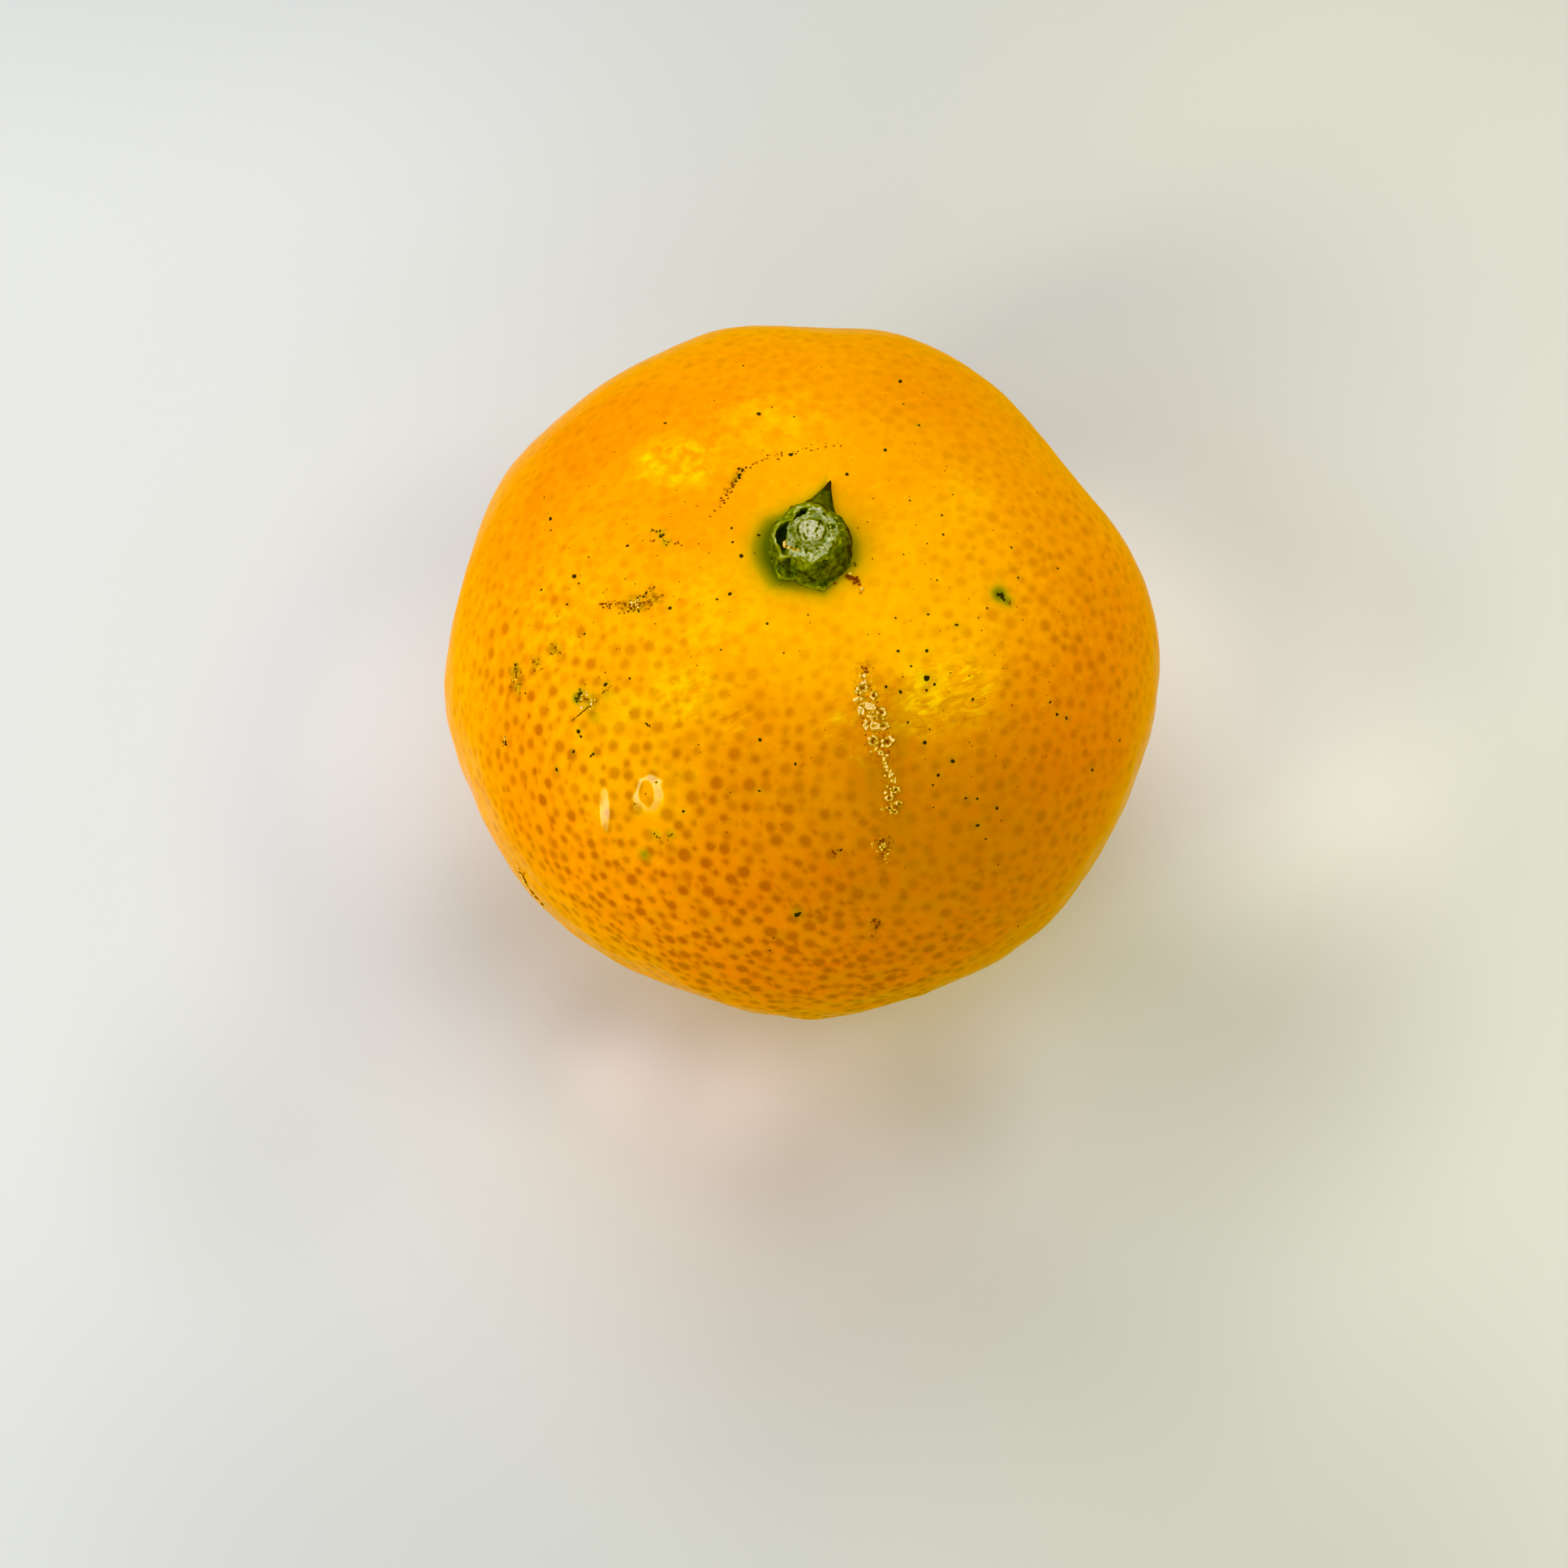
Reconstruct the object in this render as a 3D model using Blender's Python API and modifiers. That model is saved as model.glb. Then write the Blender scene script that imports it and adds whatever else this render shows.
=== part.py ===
"""A mandarin as picked: one lumpy fruit, the green calyx on its stem end and the stub of its stem.

Metres, +Z up. The fruit rests on the small flat spot of its blossom end, at Z 0, stem end up.
"""

from math import atan2, cos, exp, hypot, pi, radians, sin, tan

import bmesh
import bpy
from mathutils import Vector, noise
from mathutils.bvhtree import BVHTree

MM = 0.001
GAP = 0.3 * MM  # clearance between pieces that grow together

# Fruit: an oblate body, fuller than an ellipsoid.
WIDTH = 60.4 * MM
HEIGHT = 48.0 * MM
FULLNESS = 2.2  # exponent of the section: 2 is an ellipse, more is boxier
CELLS = 18  # faces along each side of the six patches that cover the skin
REST_CUT = 0.5 * MM  # how much of the blossom end the small flat spot takes off
STEM_OFF_CENTRE = 0.2 * MM  # the stem stands this far towards +X of the body's middle
STEM_HOLLOW_RADIUS = 8.0 * MM
STEM_HOLLOW_DEPTH = 0.9 * MM
WAVE_SIZE = 13.0 * MM
WAVE_HEIGHT = 0.22 * MM

# Flats and swellings that make the fruit lumpy: azimuth, elevation and spread in degrees, rise in mm.
LUMPS = (
    (36, 14, 19, -2.2),
    (337, -10, 16, -1.15),
    (322, 32, 14, -0.3),
    (295, -23, 13, -2.4),
    (274, -28, 8, 0.4),
    (250, -22, 15, -1.7),
    (214, -10, 12, 0.1),
    (186, -2, 10, 0.95),
    (168, 6, 7, -0.25),
    (150, 14, 10, 0.75),
    (104, 24, 12, 0.5),
    (90, 24, 8, -0.7),
    (74, 24, 9, 0.3),
    (128, -20, 14, -0.5),
    (60, -30, 12, -0.4),
    (15, -38, 12, 0.4),
)

# Calyx: a low green cup whose five sepals lie on the skin.
# Its section, from the stem's axis out to the cup's foot: distance from the axis and height, in mm.
CUP_SECTION = (
    (0.0, 2.2),
    (1.2, 2.2),
    (2.2, 2.2),
    (2.3, 2.9),
    (2.55, 2.9),
    (2.9, 2.5),
    (3.2, 1.8),
    (3.4, 1.0),
    (3.5, 0.4),
)
SEPAL_RINGS = 3
SEPAL_EDGE = 0.2 * MM  # how thick the sepals end
SEPAL_LIP = 0.2 * MM  # how far the calyx runs out past the cup's foot where it has no sepal
# Azimuth of each sepal's tip in degrees, its reach from the stem's axis in mm, and its half width in degrees.
SEPALS = (
    (75, 5.8, 26),
    (150, 3.9, 30),
    (230, 4.3, 24),
    (281, 4.3, 26),
    (333, 4.1, 28),
)
SEPAL_SHARPNESS = 1.6  # above 1 the sepals narrow towards the tip in a hollow curve
CALYX_SEGMENTS = 48

# Stub of the stem, broken off just above the calyx.
STUB_RADIUS = 1.9 * MM
STUB_TAPER = 0.94
STUB_HEIGHT = 0.9 * MM
STUB_WOBBLE = 0.05  # how far from round it is, as a share of its radius
STUB_RIM = 0.15 * MM
STUB_SEGMENTS = 28


def clear_scene():
    for leftover in list(bpy.data.objects):
        bpy.data.objects.remove(leftover)


def part_material(name, colour, roughness):
    material = bpy.data.materials.new(name)
    material.use_nodes = True
    shader = material.node_tree.nodes["Principled BSDF"]
    shader.inputs["Base Color"].default_value = (*colour, 1)
    shader.inputs["Roughness"].default_value = roughness
    shader.inputs["Metallic"].default_value = 0
    return material


def object_from(builder, name, collection, material):
    """Turns a finished bmesh into a smooth-shaded object with one material."""
    bmesh.ops.recalc_face_normals(builder, faces=builder.faces)
    mesh = bpy.data.meshes.new(name)
    builder.to_mesh(mesh)
    builder.free()
    mesh.materials.append(material)
    mesh.shade_smooth()
    made = bpy.data.objects.new(name, mesh)
    collection.objects.link(made)
    return made


def direction_of(azimuth, elevation):
    """Unit vector at an azimuth and an elevation in degrees."""
    turn, rise = radians(azimuth), radians(elevation)
    return Vector((cos(turn) * cos(rise), sin(turn) * cos(rise), sin(rise)))


def bell(distance, spread):
    """1 at the middle, falling smoothly to nothing over about twice the spread."""
    return exp(-((distance / spread) ** 2))


# ---- fruit ----


def skin_point(direction):
    """Where the skin lies in a direction from the fruit's middle. The stem's axis is at X 0, Y 0."""
    across = hypot(direction.x, direction.y) / (WIDTH / 2)
    along = abs(direction.z) / (HEIGHT / 2)
    reach = (across**FULLNESS + along**FULLNESS) ** (-1 / FULLNESS)
    for azimuth, elevation, spread, rise in LUMPS:
        angle = direction.angle(direction_of(azimuth, elevation))
        reach += rise * MM * bell(angle, radians(spread))
    reach += WAVE_HEIGHT * noise.noise(direction * (WIDTH / 2 / WAVE_SIZE))

    point = direction * reach - Vector((STEM_OFF_CENTRE, 0, 0))
    if direction.z > 0:
        point.z -= STEM_HOLLOW_DEPTH * bell(hypot(point.x, point.y), STEM_HOLLOW_RADIUS)
    point.z = max(point.z, REST_CUT - HEIGHT / 2)
    return point


def make_fruit(collection, material):
    """A cube whose faces are divided evenly and blown up onto the skin, standing on Z 0."""
    builder = bmesh.new()
    bmesh.ops.create_cube(builder, size=2)
    bmesh.ops.subdivide_edges(builder, edges=builder.edges, cuts=CELLS - 1, use_grid_fill=True)
    for vertex in builder.verts:
        # The tangent keeps the faces alike in size from the middle of a patch to its corners.
        even = Vector([tan(side * pi / 4) for side in vertex.co])
        vertex.co = skin_point(even.normalized())
    bmesh.ops.translate(builder, verts=builder.verts, vec=(0, 0, HEIGHT / 2 - REST_CUT))
    return object_from(builder, "fruit", collection, material)


def skin_height(skin, x, y):
    """Height of the skin on the stem end, straight below a point."""
    hit = skin.ray_cast(Vector((x, y, HEIGHT * 2)), Vector((0, 0, -1)))
    return hit[0].z


# ---- calyx ----


def sepal_reach(azimuth):
    """Distance from the stem's axis to the calyx's edge, drawn out to a point at each sepal."""
    foot = CUP_SECTION[-1][0] * MM
    reach = foot
    for tip, tip_reach, half_width in SEPALS:
        off = abs((azimuth - radians(tip) + pi) % (2 * pi) - pi)
        share = max(0, 1 - off / radians(half_width))
        reach = max(reach, foot + (tip_reach * MM - foot) * share**SEPAL_SHARPNESS)
    return reach


def calyx_ring(ring, azimuth):
    """Distance from the axis and height above the skin, on a ring counted from the axis outwards."""
    if ring < len(CUP_SECTION):
        return CUP_SECTION[ring][0] * MM, CUP_SECTION[ring][1] * MM
    foot = CUP_SECTION[-1][0] * MM
    foot_height = CUP_SECTION[-1][1] * MM
    share = (ring - len(CUP_SECTION) + 1) / SEPAL_RINGS
    from_axis = foot + (SEPAL_LIP + sepal_reach(azimuth) - foot) * share
    return from_axis, foot_height + (SEPAL_EDGE - foot_height) * share


def make_calyx(collection, material, skin):
    """A ball flattened into a star: its lower half follows the skin and its upper half is the cup."""
    outermost = len(CUP_SECTION) - 1 + SEPAL_RINGS
    builder = bmesh.new()
    bmesh.ops.create_uvsphere(builder, u_segments=CALYX_SEGMENTS, v_segments=2 * outermost, radius=1)
    for vertex in builder.verts:
        azimuth = atan2(vertex.co.y, vertex.co.x)
        from_pole = atan2(hypot(vertex.co.x, vertex.co.y), abs(vertex.co.z))
        ring = round(from_pole / (pi / 2) * outermost)
        from_axis, height = calyx_ring(ring, azimuth)
        x, y = from_axis * cos(azimuth), from_axis * sin(azimuth)
        on_top = vertex.co.z > 0 or ring == outermost
        vertex.co = Vector((x, y, skin_height(skin, x, y) + GAP + (height if on_top else 0)))
    return object_from(builder, "calyx", collection, material)


# ---- stem stub ----


def make_stem_stub(collection, material, skin):
    """A short, slightly uneven cylinder that stands in the calyx's socket."""
    socket_floor = skin_height(skin, 0, 0) + GAP + CUP_SECTION[0][1] * MM
    builder = bmesh.new()
    bmesh.ops.create_cone(
        builder,
        cap_ends=True,
        segments=STUB_SEGMENTS,
        radius1=STUB_RADIUS,
        radius2=STUB_RADIUS * STUB_TAPER,
        depth=STUB_HEIGHT,
    )
    for vertex in builder.verts:
        azimuth = atan2(vertex.co.y, vertex.co.x)
        stretch = 1 + STUB_WOBBLE * (sin(3 * azimuth) + cos(5 * azimuth)) / 2
        vertex.co.x *= stretch
        vertex.co.y *= stretch
    bmesh.ops.translate(builder, verts=builder.verts, vec=(0, 0, socket_floor + GAP + STUB_HEIGHT / 2))
    stub = object_from(builder, "stem_stub", collection, material)
    rounded = stub.modifiers.new("rounded rim", "BEVEL")
    rounded.width = STUB_RIM
    rounded.segments = 2
    rounded.limit_method = "ANGLE"
    stub.data.set_sharp_from_angle(angle=radians(40))
    return stub


def centre_on_origin(fruit, pieces):
    """Moves all pieces together, so that the origin is under the middle of the fruit's outline."""
    for axis in (0, 1):
        places = [vertex.co[axis] for vertex in fruit.data.vertices]
        middle = (min(places) + max(places)) / 2
        for piece in pieces:
            for vertex in piece.data.vertices:
                vertex.co[axis] -= middle


def main():
    clear_scene()
    collection = bpy.data.collections.new("mandarin")
    bpy.context.scene.collection.children.link(collection)

    peel = part_material("orange peel", (0.90, 0.36, 0.01), 0.35)
    green = part_material("calyx green", (0.10, 0.20, 0.02), 0.6)
    wood = part_material("dry stem", (0.50, 0.52, 0.36), 0.85)

    fruit = make_fruit(collection, peel)
    bpy.context.view_layer.update()
    skin = BVHTree.FromObject(fruit, bpy.context.evaluated_depsgraph_get())
    calyx = make_calyx(collection, green, skin)
    stub = make_stem_stub(collection, wood, skin)
    centre_on_origin(fruit, (fruit, calyx, stub))


main()
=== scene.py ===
"""A ripe mandarin, just picked: waxy peel full of oil glands, green calyx, broken stem.

Metres, +Z up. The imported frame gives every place: the fruit stands on Z 0 and the stem's axis
is where the frame has its stub.
"""

import random
from math import cos, exp, hypot, pi, radians, sin, tan

import bmesh
import bpy
import numpy as np
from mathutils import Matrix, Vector, kdtree, noise
from mathutils.bvhtree import BVHTree


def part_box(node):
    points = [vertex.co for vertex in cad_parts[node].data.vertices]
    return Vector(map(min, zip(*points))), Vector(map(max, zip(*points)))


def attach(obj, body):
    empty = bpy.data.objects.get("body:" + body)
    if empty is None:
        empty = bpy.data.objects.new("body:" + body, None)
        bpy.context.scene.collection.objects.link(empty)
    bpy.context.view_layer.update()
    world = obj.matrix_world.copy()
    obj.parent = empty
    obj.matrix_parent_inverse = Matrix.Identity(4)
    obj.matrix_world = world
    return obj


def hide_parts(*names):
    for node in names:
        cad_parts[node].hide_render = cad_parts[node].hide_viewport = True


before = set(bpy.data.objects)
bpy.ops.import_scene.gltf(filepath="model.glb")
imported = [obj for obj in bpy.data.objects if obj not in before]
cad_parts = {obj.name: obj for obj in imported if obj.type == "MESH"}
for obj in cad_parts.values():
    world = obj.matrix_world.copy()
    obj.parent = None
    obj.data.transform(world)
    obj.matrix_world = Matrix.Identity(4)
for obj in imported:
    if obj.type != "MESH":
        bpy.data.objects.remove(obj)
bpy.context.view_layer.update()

MM = 0.001

FRUIT_LOW, FRUIT_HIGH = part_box("fruit")
STUB_LOW, STUB_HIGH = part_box("stem_stub")
HEART = Vector((0, 0, (FRUIT_LOW.z + FRUIT_HIGH.z) / 2))
STEM = Vector(((STUB_LOW.x + STUB_HIGH.x) / 2, (STUB_LOW.y + STUB_HIGH.y) / 2, STUB_LOW.z))

FRUIT_SKIN = BVHTree.FromObject(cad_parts["fruit"], bpy.context.evaluated_depsgraph_get())

# Peel
PEEL_CELLS = 128  # faces along each side of the six patches that cover the skin
SMOOTHING_ROUNDS = 70
SWELL_SIZE, SWELL_HEIGHT = 5.0 * MM, 0.10 * MM
PEBBLE_SIZE, PEBBLE_HEIGHT = 1.9 * MM, 0.035 * MM
BUMP_SIZE, BUMP_HEIGHT = 3.0 * MM, 0.16 * MM  # only low on the fruit
GLAND_DIMPLE = 0.045 * MM
LARGE_GLAND = (0.34 * MM, 0.57 * MM)
SMALL_GLAND = (0.18 * MM, 0.31 * MM)
LARGE_SPACING = 1.14  # least distance between large glands, as a share of their two radii
SMALL_SPACING = 1.0
LARGE_TRIES, SMALL_TRIES = 0.30, 0.08  # share of the skin's vertices that are tried as places
FURROW_DEPTH = 0.05 * MM  # shallow furrows that run out from the calyx
NAVEL_RADIUS, NAVEL_DEPTH = 1.3 * MM, 0.5 * MM  # the small scar of the blossom end, underneath
FAR_SIDE = 60  # mm: how far from the stem the lower half counts


# ---- small tools ----


def linear(code):
    """An sRGB hex colour such as "F29A00" as linear red, green, blue and alpha."""
    parts = [int(code[place : place + 2], 16) / 255 for place in (0, 2, 4)]
    return (*[part / 12.92 if part <= 0.04045 else ((part + 0.055) / 1.055) ** 2.4 for part in parts], 1)


def per(size):
    """Texture scale that makes a pattern's features about this size, in metres."""
    return 1 / size


def smooth_step(low, high, value):
    share = np.clip((value - low) / (high - low), 0, 1)
    return share * share * (3 - 2 * share)


def bell(distance, spread):
    return np.exp(-((distance / spread) ** 2))


def around(azimuth, elevation):
    """Unit vector at an azimuth and an elevation in degrees."""
    turn, rise = radians(azimuth), radians(elevation)
    return Vector((cos(turn) * cos(rise), sin(turn) * cos(rise), sin(rise)))


def points_of(mesh):
    flat = np.empty(len(mesh.vertices) * 3, dtype=np.float32)
    mesh.vertices.foreach_get("co", flat)
    return flat.reshape(-1, 3).astype(np.float64)


def put_points(mesh, points):
    mesh.vertices.foreach_set("co", points.astype(np.float32).ravel())
    mesh.update()


def normals_of(mesh):
    flat = np.empty(len(mesh.vertices) * 3, dtype=np.float32)
    mesh.vertex_normals.foreach_get("vector", flat)
    return flat.reshape(-1, 3).astype(np.float64)


def keep_value(mesh, name, values):
    """Stores one number for each vertex, for the material to read."""
    mesh.attributes.new(name, "FLOAT", "POINT").data.foreach_set("value", values.astype(np.float32))


def relax(mesh, points, rounds):
    """Moves every vertex towards the middle of its neighbours, again and again."""
    pairs = np.empty(len(mesh.edges) * 2, dtype=np.int32)
    mesh.edges.foreach_get("vertices", pairs)
    ends = np.concatenate((pairs[0::2], pairs[1::2]))
    others = np.concatenate((pairs[1::2], pairs[0::2]))
    neighbours = np.bincount(ends, minlength=len(points))
    for _ in range(rounds):
        for axis in range(3):
            total = np.bincount(ends, weights=points[others, axis], minlength=len(points))
            points[:, axis] = (points[:, axis] + total / neighbours) / 2
    return points


def noise_at(points, size, shift=0):
    """Smooth noise of about this feature size, from -1 to 1, at each point."""
    offset = Vector((shift, shift * 1.7, shift * 0.6))
    return np.array([noise.noise(Vector(point) / size + offset) for point in points])


def make_object(name, builder, material):
    mesh = bpy.data.meshes.new(name)
    builder.to_mesh(mesh)
    builder.free()
    mesh.materials.append(material)
    mesh.shade_smooth()
    made = bpy.data.objects.new(name, mesh)
    bpy.context.scene.collection.objects.link(made)
    return made


def feed(node, inputs):
    """Sets a node's inputs. Each is a number, a colour, or another node's output to link."""
    for socket, value in inputs.items():
        if isinstance(value, bpy.types.NodeSocket):
            node.id_data.links.new(value, node.inputs[socket])
        else:
            node.inputs[socket].default_value = value


def add(tree, kind, inputs=(), output=None, stops=(), **settings):
    """Adds a node with its settings and links. Gives back the output named, or else the first in use.

    A colour ramp's stops are pairs of a place from 0 to 1 and a hex colour, lowest first.
    """
    node = tree.nodes.new("ShaderNode" + kind)
    for name, value in settings.items():
        setattr(node, name, value)
    for number, (place, code) in enumerate(stops):
        stop = node.color_ramp.elements[number] if number < 2 else node.color_ramp.elements.new(place)
        stop.position, stop.color = place, linear(code)
    feed(node, dict(inputs))
    return node.outputs[output] if output else next(one for one in node.outputs if one.enabled)


def new_material(name):
    """An empty material and its shader, ready for nodes."""
    material = bpy.data.materials.new(name)
    material.use_nodes = True
    tree = material.node_tree
    return material, tree, tree.nodes["Principled BSDF"]


# ---- peel ----

# Broad regions of the rind: azimuth and elevation in degrees from the fruit's middle, spread, amount.
# Where it is riper, a deeper orange; the regions on the front and low down also darken the rind as painted
# shade.
RIPE_AND_SHADED_PARTS = (
    (346, 32, 26, 0.26), (262, 45, 15, 0.16), (285, 46, 16, 0.22), (310, 42, 16, 0.14), (317, 22, 14, 0.16),
    (285, 28, 10, 0.10), (218, 45, 10, 0.06), (298, 31, 16, 0.12), (238, 52, 13, 0.10), (50, 52, 20, 0.14),
    (40, 73, 14, 0.18), (272, 8, 30, 0.42), (270, -8, 18, 0.40), (305, 8, 22, 0.45), (312, -8, 26, 0.35),
    (309, 25, 22, 0.25), (225, -25, 30, 0.45), (275, -32, 24, 0.45), (149, 42, 26, 0.42),
    (90, 45, 24, 0.20), (45, 46, 24, 0.22), (5, 10, 26, 0.30), (192, 28, 26, 0.15), (222, 22, 22, 0.20),
    (159, 74, 14, 0.18), (187, 62, 16, 0.24), (122, 66, 18, 0.22), (250, 60, 14, 0.25), (80, -20, 45, 0.30),
)
# Where it is a little green still; on the front, darker olive that is painted shade.
OLIVE_AND_SHADED_PARTS = (
    (262, 45, 15, 0.20), (285, 46, 16, 0.24), (310, 42, 16, 0.20), (308, 26, 18, 0.26), (272, 26, 18, 0.12),
    (285, 28, 10, 0.14), (241, 36, 9, 0.14), (218, 45, 10, 0.14), (298, 31, 16, 0.12), (238, 52, 13, 0.12),
    (50, 50, 20, 0.08), (335, 8, 20, 0.08), (228, -2, 14, 0.04),
)
# Where the oil glands show through.
CLEAR_PARTS = (
    (266, 20, 32, 1.10), (272, 0, 20, 0.50), (345, 33, 28, 0.30), (310, 25, 20, 0.20), (225, 25, 26, 0.44),
    (195, 38, 24, 0.28), (90, 50, 30, -0.08), (90, -25, 50, 0.45), (0, -90, 50, 0.45),
    (232, -18, 20, -0.25),
)
# Where the wax bloom makes it less shiny.
DULL_PARTS = (
    (120, 45, 38, 0.55), (30, 40, 45, 0.75), (310, 50, 22, 0.30), (180, 20, 25, 0.60), (234, 36, 12, 1.00),
    (0, -90, 70, 1.00),
)
# Paler yellow, from thin skin and from painted yellow glints and soft highlights (the patch at the back on
# the left, the flecks beside the long scar, over the folds): X and Y in mm as seen from above, spread,
# amount.
PALE_SKIN_AND_GLINTS = (
    (-11.2, 8.2, 1.8, 1.6), (-8.8, 7.8, 1.8, 1.6), (-3.5, 11.6, 3.0, 0.6), (0.5, 12.0, 2.4, 0.35),
    (-8.8, -11.2, 2.6, 0.8), (-13.0, -12.2, 2.4, 0.5), (10.0, -10.6, 3.0, 0.8), (7.4, -12.8, 1.8, 0.7),
    (3.0, -13.5, 0.55, 1.3), (3.8, -13.8, 0.4, 1.1), (4.1, -15.8, 0.6, 1.6), (4.9, -16.4, 0.4, 1.2),
    (-19.0, -4.0, 4.0, 0.4), (12.4, 5.5, 2.2, 0.4), (-6.5, -5.5, 4.0, 0.45),
)
# Darker amber beside the long scar: X and Y in mm as seen from above, spread, amount.
AMBER_PARTS = (
    (7.4, -13.4, 1.2, 0.75), (7.6, -15.3, 1.2, 0.70), (7.1, -11.2, 1.0, 0.40), (6.6, -17.6, 1.3, 0.60),
    (5.2, -17.6, 1.6, 0.45), (4.0, -14.6, 1.4, 0.35), (7.3, -20.6, 1.6, 0.30),
)
# Smears rubbed clean: X and Y in mm, half width, half height, turn in degrees. The second is the hole
# in the first.
RUBBED_SMEARS = (
    (-11.5, -18.6, 1.20, 1.55, 6),
    (-11.65, -18.2, 0.56, 0.86, 6),
    (-15.0, -18.8, 0.44, 1.60, 2),
)
# Small dents and folds where the skin dried, whose ridges also carry a painted yellow highlight: X and Y in
# mm as seen from above, spread, amount.
FOLDS_AND_SHEEN = (
    (9.6, -11.6, 2.2, 1.0), (12.4, -10.4, 2.4, 0.9), (8.0, -13.4, 1.6, 0.7), (-9.0, -11.4, 2.2, 0.5),
    (-4.6, -14.4, 1.6, 0.4), (-6.4, -4.8, 2.6, 0.25), (7.0, 2.6, 2.2, 0.20), (2.6, -14.2, 1.5, 0.5),
)


def regional(table, directions):
    """Adds up broad soft regions, each centred on a direction from the fruit's middle."""
    total = np.zeros(len(directions))
    for azimuth, elevation, spread, amount in table:
        aligned = np.clip(directions @ np.array(around(azimuth, elevation)), -1, 1)
        total += amount * bell(np.degrees(np.arccos(aligned)), spread)
    return total


def on_top_of(table, points):
    """Adds up soft round patches of the stem end, each centred on a place as seen from above."""
    total = np.zeros(len(points))
    for x, y, spread, amount in table:
        away = np.hypot(points[:, 0] / MM - x, points[:, 1] / MM - y)
        total += np.where(points[:, 2] > HEART.z, amount * bell(away, spread), 0)
    return total


def ripe_peel():
    """Mandarin rind, waxy as it grows: clear skin over oil glands that show as amber discs."""
    material, tree, shader = new_material("ripe mandarin rind, waxy skin over oil glands")
    place = add(tree, "TexCoord", output="Object")
    read = {
        name: add(tree, "Attribute", output="Fac", attribute_name=name)
        for name in ("flush_and_shade", "pale", "olive_and_shade", "green", "stain", "crease_and_sheen", "dull", "gland_gap", "gland_tone")
    }

    # Ground colour: golden near the stem, deeper orange where riper, in soft clouds about 9 mm wide. The
    # deeper orange also stands for painted shade on the front and lower sides.
    clouds = add(tree, "TexNoise", {"Vector": place, "Scale": per(9 * MM), "Detail": 3})
    ripeness_and_shade = add(tree, "Math", {0: clouds, 1: 0.5, 2: read["flush_and_shade"]}, operation="MULTIPLY_ADD")
    riper_and_shaded = add(tree, "MapRange", {"Value": ripeness_and_shade, "From Min": 0.25, "From Max": 1.25})
    ground = add(
        tree, "Mix", {"Factor": riper_and_shaded, "A": linear("FFB300"), "B": linear("EC7400")}, data_type="RGBA"
    )

    # Mottling between the glands, 2 mm wide, as the white pith shows through more or less.
    mottle = add(tree, "TexNoise", {"Vector": place, "Scale": per(2.0 * MM), "Detail": 3})
    darker = add(tree, "MapRange", {"Value": mottle, "From Min": 0.45, "From Max": 0.75})
    shaded = add(tree, "Math", {0: darker, 1: read["gland_tone"]}, operation="MULTIPLY")
    mottled = add(tree, "Mix", {"Factor": shaded, "A": ground, "B": linear("D67E00")}, data_type="RGBA")
    # Yellower flecks 1.5 mm wide where the skin is thin; where the pale patches are strong they are painted
    # glints and highlights.
    flecks = add(
        tree, "TexNoise",
        {"Vector": place, "Scale": per(1.5 * MM), "Detail": 5, "Roughness": 0.65, "Distortion": 0.4},
    )
    fleck = add(tree, "MapRange", {"Value": flecks, "From Min": 0.38, "From Max": 0.64})
    thin_skin_and_glints = add(tree, "Math", {0: fleck, 1: read["pale"]}, operation="MULTIPLY")
    mottled = add(tree, "Mix", {"Factor": thin_skin_and_glints, "A": mottled, "B": linear("FFCC00")}, data_type="RGBA")

    # Fine stipple all over, 0.6 mm wide: some of the skin cells are darker, some yellower.
    stipple = add(tree, "TexNoise", {"Vector": place, "Scale": per(0.6 * MM), "Detail": 4, "Roughness": 0.7})
    for low, high, most, colour in ((0.52, 0.72, 0.30, "DE8400"), (0.46, 0.28, 0.26, "FFC800")):
        cell = add(tree, "MapRange", {"Value": stipple, "From Min": low, "From Max": high, "To Max": most})
        mottled = add(tree, "Mix", {"Factor": cell, "A": mottled, "B": linear(colour)}, data_type="RGBA")

    # Oil glands: amber discs with soft edges and a fainter ring of shade about each.
    waver = add(tree, "TexNoise", {"Vector": place, "Scale": per(0.5 * MM), "Detail": 2})
    edge = add(tree, "Math", {0: waver, 1: 0.24, 2: read["gland_gap"]}, operation="MULTIPLY_ADD")
    halo = add(
        tree, "MapRange", {"Value": edge, "From Min": 0.54, "From Max": 0.0, "To Max": 0.34},
        interpolation_type="SMOOTHSTEP",
    )
    disc = add(
        tree, "MapRange", {"Value": edge, "From Min": 0.28, "From Max": -0.16, "To Max": 0.84},
        interpolation_type="SMOOTHSTEP",
    )
    depth = add(tree, "Math", {0: halo, 1: disc}, operation="ADD")
    seen = add(tree, "Math", {0: depth, 1: read["gland_tone"]}, operation="MULTIPLY")
    glands = add(tree, "Mix", {"Factor": seen, "A": mottled, "B": linear("B65200")}, data_type="RGBA")

    # Folds where the skin dried, some 0.8 mm apart and over 2 mm long: their ridges are painted yellow as a
    # highlight and their furrows darker orange as shade.
    turned = add(
        tree, "Mapping", {"Vector": place, "Rotation": (0, 0, radians(24)), "Scale": (3.0, 1, 1.4)},
        vector_type="TEXTURE",
    )
    folds = add(
        tree, "TexNoise", {"Vector": turned, "Scale": per(0.80 * MM), "Detail": 5, "Distortion": 2.0}
    )
    folds_and_painted_sheen = glands
    for low, high, colour in ((0.52, 0.64, "FFCC0C"), (0.46, 0.34, "D88A00")):
        ridge = add(tree, "MapRange", {"Value": folds, "From Min": low, "From Max": high})
        ridged = add(tree, "Math", {0: ridge, 1: read["crease_and_sheen"]}, operation="MULTIPLY")
        folds_and_painted_sheen = add(
            tree, "Mix", {"Factor": ridged, "A": folds_and_painted_sheen, "B": linear(colour)}, data_type="RGBA"
        )
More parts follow.
